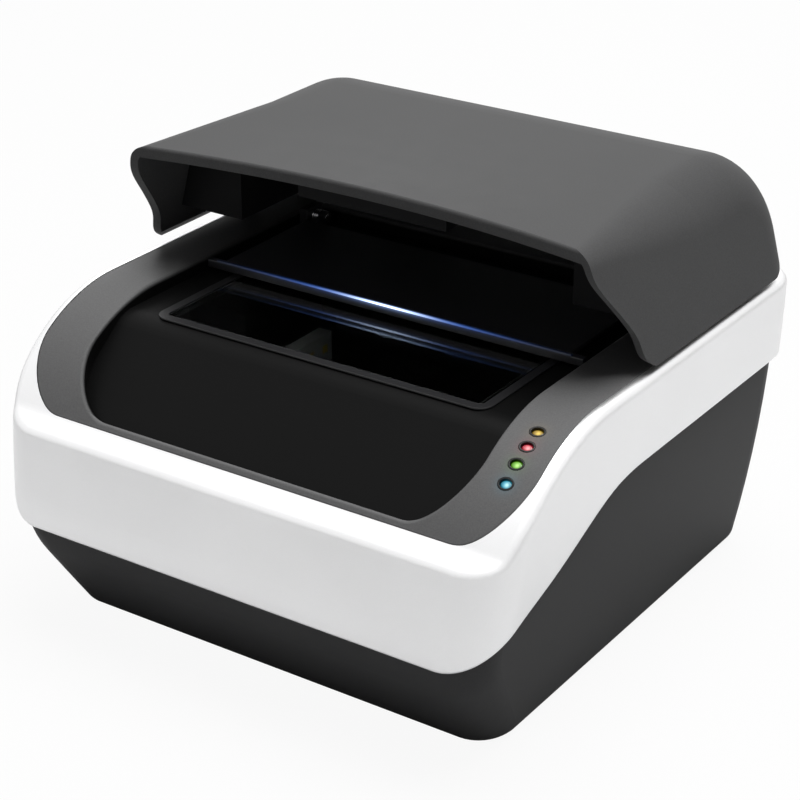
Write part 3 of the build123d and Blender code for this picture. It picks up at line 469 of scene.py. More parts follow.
@dataclass(frozen=True)
class Steel:
    """Bare or plated steel with a drawn, ground or brushed grain."""

    colour: Colour
    roughness: float = 0.32
    grain: Point = (1.0, 1.0, 1.0)

    def dress(self, nodes: Nodes) -> None:
        """Build the finish's nodes."""
        grain = nodes.noise(0.12, 2.0, self.grain)
        dull = (nodes.noise(6.0, 4.0) - 0.4).clamped()
        nodes.surface(
            Base_Color=nodes.blend(dull, self.colour, tinted(self.colour, 0.62)),
            Metallic=1.0,
            Roughness=grain.swing(0.24) + dull * 0.16 + self.roughness,
            Normal=nodes.bump(grain, 0.006),
        )


@dataclass(frozen=True)
class SolderMask:
    """Green board with copper tracks under its lacquer and dark chips above it."""

    colour: Colour
    solder: Colour = (0.62, 0.6, 0.55)
    chip: Colour = (0.018, 0.018, 0.02)
    chips_above: float = 15.6
    track_step: float = 1.9
    track_width: float = 0.35
    pad_step: float = 4.6
    pad_share: float = 0.13

    def dress(self, nodes: Nodes) -> None:
        """Build the finish's nodes."""
        x, y, z = nodes.axes()
        wander = nodes.noise(11.0, 0.0) * 9.0
        track = (x + wander).wrapped(self.track_step) < self.track_width
        cross = (y - wander).wrapped(self.track_step * 2.0) < self.track_width
        pads = nodes.cells(self.pad_step) < self.pad_share
        tracks = nodes.shades((track + cross).at_most(0.8), self.colour, 1.0, 2.1)
        chip = z > self.chips_above
        nodes.surface(
            Base_Color=nodes.blend(chip, nodes.blend(pads, tracks, self.solder), self.chip),
            Metallic=pads * (1.0 - chip) * 0.9,
            Roughness=chip * 0.3 + pads * 0.05 + nodes.noise(3.0, 2.0) * 0.08 + 0.22,
            Normal=nodes.bump((track + cross + pads).at_most(1.0), 0.03),
        )


@dataclass(frozen=True)
class LampBoard:
    """White board behind a row of lamps, with their yellow phosphor."""

    colour: Colour
    phosphor: Colour = (0.8, 0.62, 0.12)
    lamp_step: float = 9.0
    lamp_half: float = 1.6
    middle_z: float = 66.0

    def dress(self, nodes: Nodes) -> None:
        """Build the finish's nodes."""
        y, z = nodes.axes()[1:]
        off_y = abs((y + self.lamp_step * 20.0).wrapped(self.lamp_step) - self.lamp_step / 2)
        lamp = (off_y < self.lamp_half) * (abs(z - self.middle_z) < self.lamp_half)
        bloom = nodes.noise(2.0, 2.0)
        nodes.surface(
            Base_Color=nodes.blend(lamp, nodes.shades(bloom, self.colour, 0.9, 1.0), self.phosphor),
            Roughness=bloom * 0.12 + 0.4 - lamp * 0.15,
            Normal=nodes.bump(lamp, 0.25),
        )


@dataclass(frozen=True)
class Anodised:
    """Black anodised aluminium."""

    colour: Colour
    roughness: float = 0.34

    def dress(self, nodes: Nodes) -> None:
        """Build the finish's nodes."""
        grain = nodes.noise(0.2, 2.0)
        nodes.surface(
            Base_Color=nodes.shades(grain, self.colour, 0.7, 1.4),
            Metallic=0.85,
            Roughness=grain.swing(0.2) + self.roughness,
            Normal=nodes.bump(grain, 0.008),
        )


@dataclass(frozen=True)
class LitLens:
    """Clear tinted lens with a lit lamp under it."""

    centre: Point
    tint: Colour
    core: Colour
    core_shift: Point = (0.3, -0.15, 0.0)
    core_reach: float = 0.75
    body_reach: float = 1.5

    def dress(self, nodes: Nodes) -> None:
        """Build the finish's nodes."""
        middle = tuple(c + shift for c, shift in zip(self.centre, self.core_shift))
        core = nodes.distance(middle).hump(0.0, self.core_reach)
        body = nodes.distance(self.centre).hump(0.0, self.body_reach)
        ripple = nodes.noise(0.7, 1.0)
        nodes.surface(
            Base_Color=nodes.shades(ripple, self.tint, 0.15, 0.3),
            Roughness=ripple * 0.08 + 0.12,
            Emission_Color=nodes.blend(core, nodes.shades(body, self.tint, 0.06, 1.0), self.core),
            Emission_Strength=1.0,
            Coat_Weight=0.5,
            Coat_Roughness=0.08,
        )


@dataclass(frozen=True)
class LightGuide:
    """Clear strip lit blue and white from its middle."""

    edge_y: float = -10.1
    reach: float = 0.55
    halo_half: float = 36.0
    core_half: float = 15.0
    halo: Colour = (0.05, 0.17, 0.7)
    core: Colour = (1.3, 1.5, 1.6)
    unlit: tuple[Colour, Colour] = ((0.05, 0.06, 0.08), (0.09, 0.1, 0.13))

    def dress(self, nodes: Nodes) -> None:
        """Build the finish's nodes."""
        x, y = nodes.axes()[:2]
        ripple = nodes.noise(1.2, 2.0, (6.0, 1.0, 1.0))
        edge = y.hump(self.edge_y, self.reach)
        wide = x.hump(0.0, self.halo_half) * (ripple * 0.3 + 0.85) * (edge * 0.85 + 0.15)
        blue = nodes.blend(wide, BLACK, self.halo, "ADD")
        nodes.surface(
            Base_Color=nodes.blend(ripple, *self.unlit),
            Roughness=ripple * 0.1 + 0.18,
            Emission_Color=nodes.blend(x.hump(0.0, self.core_half) * edge, blue, self.core, "ADD"),
            Emission_Strength=1.0,
        )


@dataclass
class FinishShelf:
    """All finishes, each made a material once."""

    finishes: dict[Slot, Finish]
    made: dict[Slot, bpy.types.Material] = field(default_factory=dict)

    def material(self, slot: Slot) -> bpy.types.Material:
        """The material of a slot."""
        if slot not in self.made:
            material = bpy.data.materials.new(slot.value)
            material.use_nodes = True
            self.finishes[slot].dress(Nodes(material.node_tree))
            self.made[slot] = material
        return self.made[slot]

    def put_on(self, piece: bpy.types.Object, slot: Slot) -> None:
        """Give a piece one finish all over."""
        piece.data.materials.clear()
        piece.data.materials.append(self.material(slot))
        for polygon in piece.data.polygons:
            polygon.material_index = 0


# Modelling


def deselect() -> None:
    """Leave nothing selected and nothing in edit mode."""
    if bpy.context.object and bpy.context.object.mode != "OBJECT":
        bpy.ops.object.mode_set(mode="OBJECT")
    bpy.ops.object.select_all(action="DESELECT")


def linked(name: str, data: bpy.types.ID) -> bpy.types.Object:
    """A new object in the scene."""
    item = bpy.data.objects.new(name, data)
    bpy.context.scene.collection.objects.link(item)
    return item


class Model:
    """One mesh that is shaped with the modelling operators, in millimetres."""

    def __init__(self, item: bpy.types.Object) -> None:
        """Take an object as the only selected one."""
        self.item = item
        self.activate()

    @classmethod
    def block(cls, name: str, low: Point, high: Point) -> "Model":
        """Start from a cube between its lowest and its highest corner."""
        deselect()
        middle = tuple((a + b) / 2 * MM for a, b in zip(low, high))
        size = tuple((b - a) * MM for a, b in zip(low, high))
        bpy.ops.mesh.primitive_cube_add(size=1.0, location=middle, scale=size)
        return cls.named(name)

    @classmethod
    def rod(cls, name: str, radius: float, low_z: float, high_z: float, sides: int = 40) -> "Model":
        """Start from an upright cylinder over the origin, between two heights."""
        deselect()
        size = {"radius": radius * MM, "depth": (high_z - low_z) * MM}
        middle = (0.0, 0.0, (low_z + high_z) / 2 * MM)
        bpy.ops.mesh.primitive_cylinder_add(vertices=sides, location=middle, **size)
        return cls.named(name)

    @classmethod
    def copied(cls, node: str) -> "Model":
        """Start from a merged copy of a CAD node."""
        deselect()
        model = cls(linked(f"{node}_body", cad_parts[node].data.copy())).whole()
        bpy.ops.mesh.remove_doubles(threshold=MERGE_MM * MM)
        return model

    @classmethod
    def named(cls, name: str) -> "Model":
        """Name the new primitive and put its place in its mesh."""
        item = bpy.context.object
        item.name = name
        bpy.ops.object.transform_apply(location=True, rotation=True, scale=True)
        return cls(item)

    def activate(self) -> None:
        """Make this the only selected object."""
        deselect()
        self.item.select_set(True)
        bpy.context.view_layer.objects.active = self.item

    def edit(self) -> None:
        """Go into edit mode."""
        if self.item.mode != "EDIT":
            self.activate()
            bpy.ops.object.mode_set(mode="EDIT")

    def whole(self) -> "Model":
        """Select the whole mesh in edit mode."""
        self.edit()
        bpy.ops.mesh.select_all(action="SELECT")
        return self

    def pick(self, kind: Pick, test: Callable[[Vector, Vector], bool]) -> "Model":
        """Select faces or edges by place.

        Args:
            kind: Faces or edges.
            test: Takes a middle in millimetres and a direction, a face's normal or an edge's run.

        Returns:
            The model.
        """
        self.edit()
        bpy.context.tool_settings.mesh_select_mode = (False, kind is Pick.EDGES, kind is Pick.FACES)
        bpy.ops.mesh.select_all(action="DESELECT")
        mesh = bmesh.from_edit_mesh(self.item.data)
        for part in mesh.faces if kind is Pick.FACES else mesh.edges:
            if kind is Pick.FACES:
                middle, direction = part.calc_center_median(), part.normal
            else:
                ends = [vertex.co for vertex in part.verts]
                middle, direction = (ends[0] + ends[1]) / 2, (ends[1] - ends[0]).normalized()
            part.select_set(bool(test(middle / MM, direction)))
        mesh.select_flush_mode()
        bmesh.update_edit_mesh(self.item.data)
        return self

    def facing(self, *ways: Vector) -> "Model":
        """Select the faces that look along any of the directions."""
        return self.pick(Pick.FACES, lambda middle, normal: any(normal.dot(way) > ALONG for way in ways))

    def upright(self) -> "Model":
        """Select the upright edges."""
        return self.pick(Pick.EDGES, lambda middle, run: abs(run.z) > ALONG)

    def level(self) -> "Model":
        """Select the level edges."""
        return self.pick(Pick.EDGES, lambda middle, run: abs(run.z) < ACROSS)

    def rim(self, height: float, inner: float = 0.0) -> "Model":
        """Select the edges at a height that are farther out than an inner radius."""
        return self.pick(
            Pick.EDGES, lambda middle, run: abs(middle.z - height) < TOUCH and middle.xy.length >= inner
        )

    def inset(self, width: float, depth: float = 0.0) -> "Model":
        """Inset the selected faces by a width, sunk by a depth."""
        bpy.ops.mesh.inset(thickness=width * MM, depth=-depth * MM)
        return self

    def extrude(self, y: float = 0.0, z: float = 0.0) -> "Model":
        """Extrude the selected faces by a step."""
        bpy.ops.mesh.extrude_region_move(TRANSFORM_OT_translate={"value": (0.0, y * MM, z * MM)})
        return self

    def widen(self, x: float, y: float) -> "Model":
        """Scale the selection about the upright axis."""
        bpy.ops.transform.resize(value=(x, y, 1.0), center_override=(0.0, 0.0, 0.0))
        return self

    def bevel(self, width: float, segments: int = 3) -> "Model":
        """Round the selected edges."""
        bpy.ops.mesh.bevel(offset=width * MM, segments=segments, affect="EDGES", clamp_overlap=True)
        return self

    def soften(self, width: float) -> "Model":
        """Round every sharp edge with a Bevel modifier."""
        settings = {"width": width * MM, "segments": 2, "limit_method": "ANGLE", "angle_limit": SHARP_ANGLE}
        return self.modify("BEVEL", **settings, harden_normals=False)

    def modify(self, kind: str, **settings: object) -> "Model":
        """Add a modifier and apply it."""
        self.activate()
        modifier = self.item.modifiers.new(kind.lower(), kind)
        for name, value in settings.items():
            setattr(modifier, name, value)
        bpy.ops.object.modifier_apply(modifier=modifier.name)
        return self

    def cut(self, low: Point, high: Point) -> "Model":
        """Cut a box out of the piece."""
        cutter = Model.block("cutter", low, high)
        self.modify("BOOLEAN", object=cutter.item, operation="DIFFERENCE", solver="EXACT")
        bpy.data.objects.remove(cutter.item, do_unlink=True)
        return self

    def moved(self, place: Matrix) -> "Model":
        """Put the mesh through a matrix whose lengths are in metres."""
        self.activate()
        self.item.matrix_world = place
        bpy.ops.object.transform_apply(location=True, rotation=True, scale=True)
        return self

    def repeated(self, places: Sequence[Matrix]) -> "Model":
        """Copy the piece to each place and join the copies.

        Args:
            places: A matrix for each copy.

        Returns:
            The joined model.
        """
        self.activate()  # leaves edit mode, so that the copies hold the last edit
        copies = []
        for place in places:
            item = self.item.copy()
            item.data = self.item.data.copy()
            bpy.context.scene.collection.objects.link(item)
            copies.append(Model(item).moved(place).item)
        bpy.data.objects.remove(self.item, do_unlink=True)
        deselect()
        for item in copies:
            item.select_set(True)
        bpy.context.view_layer.objects.active = copies[0]
        bpy.ops.object.join()
        return Model(copies[0])

    def tidy(self) -> "Model":
        """Merge doubles and point the faces outwards."""
        self.whole()
        bpy.ops.mesh.remove_doubles(threshold=MERGE_MM * MM / 4)
        bpy.ops.mesh.normals_make_consistent(inside=False)
        return self

    def smooth(self) -> "Model":
        """Shade round faces smooth and keep flat ones flat."""
        self.activate()
        bpy.ops.object.shade_smooth_by_angle(angle=SMOOTH_ANGLE)
        return self.modify("WEIGHTED_NORMAL", mode="FACE_AREA", keep_sharp=True, weight=60)


def lift(x: float, y: float, z: float, turned: bool = False) -> Matrix:
    """Matrix that moves a piece by millimetres, after it is turned upside down if wanted."""
    turn = Matrix.Rotation(pi, 4, "X") if turned else Matrix.Identity(4)
    return Matrix.Translation((x * MM, y * MM, z * MM)) @ turn


def crossed(
    middle: float, step: float, ys: Sequence[float], z: float, turned: bool = False
) -> list[Matrix]:
    """Places right and left of a middle by a step, at each of some depths and at one height."""
    return [lift(middle + side * step, y, z, turned) for side in (1, -1) for y in ys]


@dataclass
class Screw:
    """Pan-head screw with a cross recess and a rolled thread."""

    head_radius: float = 2.6
    head_height: float = 1.7
    edge: float = 0.5
    crest: float = 1.25
    root: float = 1.0
    pitch: float = 0.9
    least_plain: float = 0.05
    recess_half: float = 1.45
    recess_width: float = 0.55
    recess_depth: float = 0.9

    def model(self, length: float) -> Model:
        """Model one screw that points down, with its head's seat at height 0.

        Args:
            length: Length under the head.

        Returns:
            The model.
        """
        top = self.head_height
        screw = Model.rod("screw", self.head_radius, 0.0, top, 32)
        screw.rim(top).bevel(self.edge)
        screw.facing(-UP).inset(self.head_radius - self.root)
        turns = int(length / self.pitch)
        plain = length - turns * self.pitch
        if plain > self.least_plain:
            screw.extrude(z=-plain)
        for _ in range(turns):
            for factor in (self.crest / self.root, self.root / self.crest):
                screw.extrude(z=-self.pitch / 2).widen(factor, factor)
        half, width = self.recess_half, self.recess_width / 2
        floor, above = top - self.recess_depth, top + 1.0
        screw.cut((-half, -width, floor), (half, width, above))
        screw.cut((-width, -half, floor), (width, half, above))
        return screw.tidy().smooth()


@dataclass
class Fitter:
    """Puts finished pieces on their bodies and keeps count of them."""

    shelf: FinishShelf
    count: int = 0

    def fit(
        self, model: Model, slot: Slot, *nodes: str, body: Body = Body.BASE, name: str | None = None
    ) -> None:
        """Dress a piece and let it ride.

        Args:
            model: The piece.
            slot: Its finish.
            nodes: CAD nodes that it stands for.
            body: The body that it moves with.
            name: Its name, where the model has another.
        """
        deselect()
        piece = model.item
        piece.name = name or piece.name
        self.shelf.put_on(piece, slot)
        if nodes:
            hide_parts(*nodes)
        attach(piece, body.value)
        self.count += 1
        log.info("%s: %d faces, on %s", piece.name, len(piece.data.polygons), body.value)

    def keep(self, slot: Slot, *nodes: str) -> None:
        """Leave CAD nodes as they are and give them a finish."""
        for node in nodes:
            self.shelf.put_on(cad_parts[node], slot)
            self.count += 1
            log.info("%s: kept", node)

    def skin(self, slot: Slot, edge: float, *nodes: str, body: Body = Body.BASE) -> None:
        """Stand smoothed copies in for CAD nodes, with their sharp edges rounded by a width."""
        for node in nodes:
            model = Model.copied(node)
            bpy.ops.mesh.dissolve_limited(angle_limit=FLAT_ANGLE)
            self.fit(model.soften(edge).smooth(), slot, node, body=body)

    def screws(self, node: str, name: str, length: float, places: Sequence[Matrix]) -> None:
        """Put in a CAD node's plated screws, with a length under their heads."""
        self.fit(Screw().model(length).repeated(places), Slot.SCREW, node, name=name)


# Sub-assemblies


@dataclass
class BaseUnit:
    """Tapered base with its silver band, hatch plate, feet, screws and rear sockets."""

    fitter: Fitter
    foot_radius: float = 6.0
    foot_height: float = 1.5
    foot_edge: float = 0.45
    foot_x: float = 80.0
    foot_ys: Plan = (-70.0, 92.0)
    sole_rim: float = 1.4
    groove_wall: float = 0.35
    groove_depth: float = 0.4
    groove_width: float = 1.1
    plate_screw_x: float = 74.5
    plate_screw_ys: Point = (-52.0, 13.0, 66.0)
    plate_seat_z: float = 3.35
    plate_screw_length: float = 5.4
    post_x: float = 84.5
    post_ys: Plan = (-40.0, 80.0)
    post_seat_z: float = 97.0
    post_screw_length: float = 8.75
    hollow_y: float = 95.5
    usb_x: float = -22.0
    usb_z: float = 19.15
    tongue_half: Plan = (2.8, 1.6)
    tongue_length: float = 7.0
    tongue_step: float = 0.5
    contact_size: Point = (0.9, 5.6, 0.18)
    contact_step: float = 1.25
    contact_start: float = 0.9
    power_x: float = 10.0
    power_z: float = 18.4
    pin_radius: float = 0.85
    pin_length: float = 7.2
    root: float = 0.2

    def build(self) -> None:
        """Build every piece of the base."""
        self.fitter.keep(Slot.BASE, "base_shell", "base_plate")
        self.fitter.keep(Slot.BAND, "silver_band")
        self.feet()
        hatch = crossed(0.0, self.plate_screw_x, self.plate_screw_ys, self.plate_seat_z, True)
        self.fitter.screws("base_screws", "hatch_screws", self.plate_screw_length, hatch)
        posts = crossed(0.0, self.post_x, self.post_ys, self.post_seat_z, True)
        self.fitter.screws("cover_screws", "post_screws", self.post_screw_length, posts)
        self.fitter.skin(Slot.SOCKET, 0.3, "usb_socket")
        self.fitter.skin(Slot.SOCKET_BODY, 0.4, "power_socket")
        self.data_tongue()
        self.power_pin()

    def feet(self) -> None:
        """Round feet with a sunken ring in their soles."""
        foot = Model.rod("feet", self.foot_radius, 0.0, self.foot_height, 56)
        foot.facing(-UP).inset(self.sole_rim).inset(self.groove_wall, self.groove_depth)
        foot.inset(self.groove_width).inset(self.groove_wall, -self.groove_depth)
        foot.rim(0.0, self.foot_radius - self.foot_edge).bevel(self.foot_edge)
        foot.tidy()
        places = crossed(0.0, self.foot_x, self.foot_ys, 0.0)
        self.fitter.fit(foot.repeated(places).smooth(), Slot.RUBBER, "rubber_feet")

    def data_tongue(self) -> None:
        """Block inside the data socket, with two contacts above it and two below."""
        x, rear, z = self.usb_x, self.hollow_y, self.usb_z
        wide, high = self.tongue_half
        low = (x - wide, rear - self.root, z - high)
        tongue = Model.block("data_tongue", low, (x + wide, rear + self.tongue_length, z + high))
        tongue.facing(REAR).inset(self.tongue_step).extrude(y=self.tongue_step)
        self.fitter.fit(tongue.soften(0.2).smooth(), Slot.SOCKET_BODY)
        width, end, top = self.contact_size
        contact = Model.block("data_contacts", (-width / 2, 0.0, 0.0), (width / 2, end, top))
        contact.pick(Pick.EDGES, lambda middle, run: middle.y > end - TOUCH and middle.z > top - TOUCH)
        contact.bevel(0.12, 2)
        starts = (rear + self.contact_start,)
        places = crossed(x, self.contact_step, starts, z + high)
        places += crossed(x, self.contact_step, starts, z - high - top)
        self.fitter.fit(contact.repeated(places).smooth(), Slot.PIN)

    def power_pin(self) -> None:
        """Round pin inside the power socket."""
        pin = Model.rod("power_pin_rod", self.pin_radius, 0.0, self.pin_length, 28)
        pin.rim(self.pin_length).bevel(0.5, 4)
        pin.facing(-UP).inset(0.3).extrude(z=-self.root)
        pin.tidy().moved(lift(self.power_x, self.hollow_y, self.power_z) @ Matrix.Rotation(-pi / 2, 4, "X"))
        self.fitter.fit(pin.smooth(), Slot.PIN)


@dataclass
class Tray:
    """Tray cover with its window and bumpers."""

    fitter: Fitter
    bumper_x: float = 99.0
    bumper_ys: Plan = (40.0, 78.0)
    bumper_radius: float = 3.0
    bumper_height: float = 2.4
    glass_low: Point = (-66.0, -51.0, 107.0)
    glass_high: Point = (66.0, 41.0, 110.0)

    def build(self) -> None:
        """Build every piece of the tray."""
        self.fitter.keep(Slot.TRAY, "tray_cover")
        self.window()
        self.fitter.skin(Slot.FRAME, 0.25, "glass_frame")
        self.bumpers()

    def window(self) -> None:
        """Sheet of glass with ground corners and edges."""
        glass = Model.block("window_pane", self.glass_low, self.glass_high)
        glass.upright().bevel(1.5, 5).level().bevel(0.25, 1)
        self.fitter.fit(glass.tidy().smooth(), Slot.GLASS, "scan_glass")

    def bumpers(self) -> None:
        """Soft bumpers with a crowned top and a narrow foot."""
        bumper = Model.rod("bumpers", self.bumper_radius, 0.0, self.bumper_height)
        bumper.rim(self.bumper_height).bevel(0.9, 5).rim(0.0).bevel(0.25, 2).tidy()
        places = crossed(0.0, self.bumper_x, self.bumper_ys, CROWN_Z)
        self.fitter.fit(bumper.repeated(places).smooth(), Slot.RUBBER, "cover_bumpers")


@dataclass(frozen=True)
class LensRow:
    """Where the four lenses sit, square to the tray's nose."""

    x: float = 92.6
    ys: tuple[tuple[Slot, float], ...] = (
        (Slot.AMBER, -59.8),
        (Slot.RED, -66.2),
        (Slot.GREEN, -72.6),
        (Slot.BLUE, -78.8),
    )
    lens_top: float = -0.6

    def places(self) -> dict[Slot, Matrix]:
        """The place of each lens on the nose, in metres."""
        found = {}
        for slot, y in self.ys:
            z = CROWN_Z - NOSE_RADIUS + sqrt(NOSE_RADIUS**2 - (y - NOSE_Y) ** 2)
            tilt = asin((NOSE_Y - y) / NOSE_RADIUS)
            found[slot] = lift(self.x, y, z) @ Matrix.Rotation(tilt, 4, "X")
        return found

    def centre(self, slot: Slot) -> Point:
        """Middle of a lens's top, in millimetres."""
        return tuple(self.places()[slot] @ Vector((0.0, 0.0, self.lens_top * MM)) / MM)


@dataclass
class Indicators:
    """Four lit lenses in bezels on the right shoulder, over their board."""

    fitter: Fitter
    row: LensRow
    lens_half: Plan = (2.2, 1.65)
    ring_half: Plan = (2.9, 2.35)
    ring_gap: float = 0.05
    ring_low: float = -2.25
    ring_top: float = 0.15
    lens_low: float = -4.6

    def build(self) -> None:
        """Build the bezels, the lenses and their board."""
        self.bezels()
        for slot, place in self.row.places().items():
            self.lens(slot, place)
        self.fitter.keep(Slot.BOARD, "indicator_board")

    def bezels(self) -> None:
        """Oval bezels, each an inset tube with a rounded rim."""
        ring = Model.rod("bezels", 1.0, self.ring_low, self.ring_top, 48).whole().widen(*self.ring_half)
        ring.facing(UP, -UP).inset(self.ring_half[0] - self.lens_half[0] - self.ring_gap)
        bpy.ops.mesh.bridge_edge_loops()
        ring.rim(self.ring_top).bevel(0.18).tidy()
        places = list(self.row.places().values())
        self.fitter.fit(ring.repeated(places).smooth(), Slot.BEZEL, "indicator_rings")

    def lens(self, slot: Slot, place: Matrix) -> None:
        """Domed oval lens, whose slot is its node's name too."""
        top = self.row.lens_top
        lens = Model.rod(f"{slot.value}_dome", 1.0, self.lens_low, top).whole().widen(*self.lens_half)
        lens.rim(top).bevel(0.8, 6).moved(place)
        self.fitter.fit(lens.tidy().smooth(), slot, slot.value)


@dataclass
class Reader:
    """Camera, light tunnel, lamp bars and boards under the window."""

    fitter: Fitter
    camera_y: float = -5.0
    barrel_low_z: float = 33.95
    barrel_height: float = 14.0
    barrel_radius: float = 9.0
    bore_radius: float = 6.5
    bore_step: Plan = (0.8, 1.2)
    grip_z: Plan = (3.0, 8.0)
    grip_gap: float = 0.22
    grip_depth: float = 0.3
    glass_height: float = 1.6
    glass_gap: float = 0.9
    board_screw_x: float = 50.0
    board_screw_ys: Plan = (50.0, 85.0)
    board_seat_z: float = 13.9
    board_screw_length: float = 6.15

    def build(self) -> None:
        """Build every piece of the reader."""
        self.fitter.keep(Slot.TUNNEL, "light_tunnel")
        self.fitter.keep(Slot.BOARD, "antenna_board", "main_board")
        self.fitter.keep(Slot.LAMP_BOARD, "light_bar_right", "light_bar_left")
        self.fitter.skin(Slot.BRACKET, 0.6, "camera_bracket")
        self.fitter.skin(Slot.CAMERA, 0.8, "camera_module")
        self.barrel()
        self.front_glass()
        places = crossed(0.0, self.board_screw_x, self.board_screw_ys, self.board_seat_z)
        self.fitter.screws("board_screws", "standoff_screws", self.board_screw_length, places)

    def barrel(self) -> None:
        """Lens barrel with a knurled focus ring and a stepped bore."""
        ledge, drop = self.bore_step
        barrel = Model.rod("lens_barrel", self.barrel_radius, 0.0, self.barrel_height, 72)
        barrel.facing(UP).inset(self.barrel_radius - self.bore_radius).extrude(z=-drop)
        barrel.inset(ledge).extrude(z=-drop)
        barrel.rim(self.barrel_height).bevel(0.3, 2)
        for height in self.grip_z:
            barrel.whole()
            bpy.ops.mesh.bisect(plane_co=(0.0, 0.0, height * MM), plane_no=UP)
        low, high = self.grip_z
        barrel.pick(Pick.FACES, lambda middle, normal: low < middle.z < high and abs(normal.z) < ACROSS)
        bpy.ops.mesh.inset(thickness=self.grip_gap * MM, depth=-self.grip_depth * MM, use_individual=True)
        barrel.tidy().moved(lift(0.0, self.camera_y, self.barrel_low_z))
        self.fitter.fit(barrel.smooth(), Slot.CAMERA, "camera_lens")

    def front_glass(self) -> None:
        """Curved front glass that sits in the barrel's bore."""
        glass = Model.rod("front_glass", self.bore_radius - self.glass_gap, 0.0, self.glass_height, 48)
        glass.rim(self.glass_height).bevel(1.1, 8).tidy()
        seat = self.barrel_low_z + self.barrel_height - 2 * self.bore_step[1]
        self.fitter.fit(glass.moved(lift(0.0, self.camera_y, seat)).smooth(), Slot.GLASS)


@dataclass
class PressUnit:
    """Sprung press plate with its lit strip, pad, pins, springs and bearings."""

    fitter: Fitter
    pivot: Plan = (52.0, 113.5)
    pin_radius: float = 1.45
    pin_start: float = 70.0
    pin_length: float = 10.0
    slot_low: Point = (-2.0, -0.2, 9.5)
    slot_high: Point = (2.0, 0.2, 11.0)
    strip_low: Point = (-76.0, -10.2, 114.4)
    strip_high: Point = (76.0, -8.7, 115.0)
    pad_low: Point = (-60.0, 0.0, 111.2)
    pad_high: Point = (60.0, 30.0, 112.4)

    def build(self) -> None:
        """Build every piece of the press."""
        self.fitter.skin(Slot.PRESS, 0.35, "press_plate", body=Body.PRESS)
        self.strip()
        self.pad()
        self.pins()
        self.fitter.skin(Slot.PRESS, 0.5, "press_bearing_right", "press_bearing_left")
        self.fitter.keep(Slot.SPRING, "press_springs")

    def strip(self) -> None:
        """Light strip with rounded upper edges and inset ends."""
        top = self.strip_high[2]
        strip = Model.block("lit_strip", self.strip_low, self.strip_high).facing(RIGHT, -RIGHT).inset(0.12)
        strip.pick(Pick.EDGES, lambda middle, run: middle.z > top - TOUCH and abs(run.x) > ALONG)
        self.fitter.fit(strip.bevel(0.25).tidy().smooth(), Slot.STRIP, "light_strip", body=Body.PRESS)

    def pad(self) -> None:
        """Foam pad with soft lower edges."""
        pad = Model.block("foam_pad", self.pad_low, self.pad_high).upright().bevel(2.0, 4)
        pad.rim(self.pad_low[2]).bevel(0.5, 4)
        self.fitter.fit(pad.tidy().smooth(), Slot.FOAM, "press_pad", body=Body.PRESS)

    def pins(self) -> None:
        """Pivot pins with bevelled ends and a slot to turn them by."""
        pin = Model.rod("press_pin_rods", self.pin_radius, 0.0, self.pin_length, 32).level().bevel(0.3, 2)
        pin.cut(self.slot_low, self.slot_high).tidy()
        places = []
        for side in (1, -1):
            turn = Matrix.Rotation(side * pi / 2, 4, "Y")
            places.append(lift(side * self.pin_start, *self.pivot) @ turn)
        self.fitter.fit(pin.repeated(places).smooth(), Slot.PIN, "press_pins", body=Body.PRESS)


@dataclass
class Hood:
    """Hood shell with its liner and the liner's screws."""

    fitter: Fitter
    screw_x: float = 40.0
    screw_ys: Plan = (12.0, 46.0)
    seat_z: float = 156.0
    screw_length: float = 4.1

    def build(self) -> None:
        """Build every piece of the hood."""
        self.fitter.keep(Slot.HOOD, "hood_shell")
        self.fitter.keep(Slot.LINER, "hood_liner")
        places = crossed(0.0, self.screw_x, self.screw_ys, self.seat_z, True)
        model = Screw().model(self.screw_length).repeated(places)
        self.fitter.fit(model, Slot.BLACK_SCREW, "liner_screws", body=Body.HOOD, name="ceiling_screws")


@dataclass
class Hinges:
    """Rear hinge brackets with their pins and screws."""

    fitter: Fitter
    knuckle_x: float = 55.0
    pin_length: float = 22.6
    pin_radius: float = 1.5
    head_radius: float = 2.4
    head_height: float = 0.4
    pivot: Plan = (103.5, 119.5)
    screw_step: float = 8.0
    screw_ys: tuple[float] = (88.5,)
    seat_z: float = 116.6
    screw_length: float = 4.3

    def build(self) -> None:
        """Build every piece of the hinges."""
        places = []
        for side, middle in (("right", self.knuckle_x), ("left", -self.knuckle_x)):
            self.fitter.skin(Slot.BRACKET, 0.35, f"hinge_bracket_{side}")
            self.pin(side, middle - self.pin_length / 2)
            places += crossed(middle, self.screw_step, self.screw_ys, self.seat_z)
        self.fitter.screws("hinge_screws", "bracket_screws", self.screw_length, places)

    def pin(self, side: str, start: float) -> None:
        """Hinge pin with a crowned head at its start and a bevelled tip."""
        pin = Model.rod(f"hinge_rod_{side}", self.pin_radius, 0.0, self.pin_length)
        grown = self.head_radius / self.pin_radius
        pin.rim(self.pin_length).bevel(0.4, 2).facing(-UP).extrude().widen(grown, grown)
        pin.extrude(z=-self.head_height).rim(-self.head_height).bevel(0.15, 2)
        pin.tidy().moved(lift(start, *self.pivot) @ Matrix.Rotation(pi / 2, 4, "Y"))
        self.fitter.fit(pin.smooth(), Slot.PIN, f"hinge_pin_{side}")


# Studio


@dataclass
class Lamp:
    """Soft square lamp that points at the object."""

    name: str
    place: Point
    side: float
    power: float


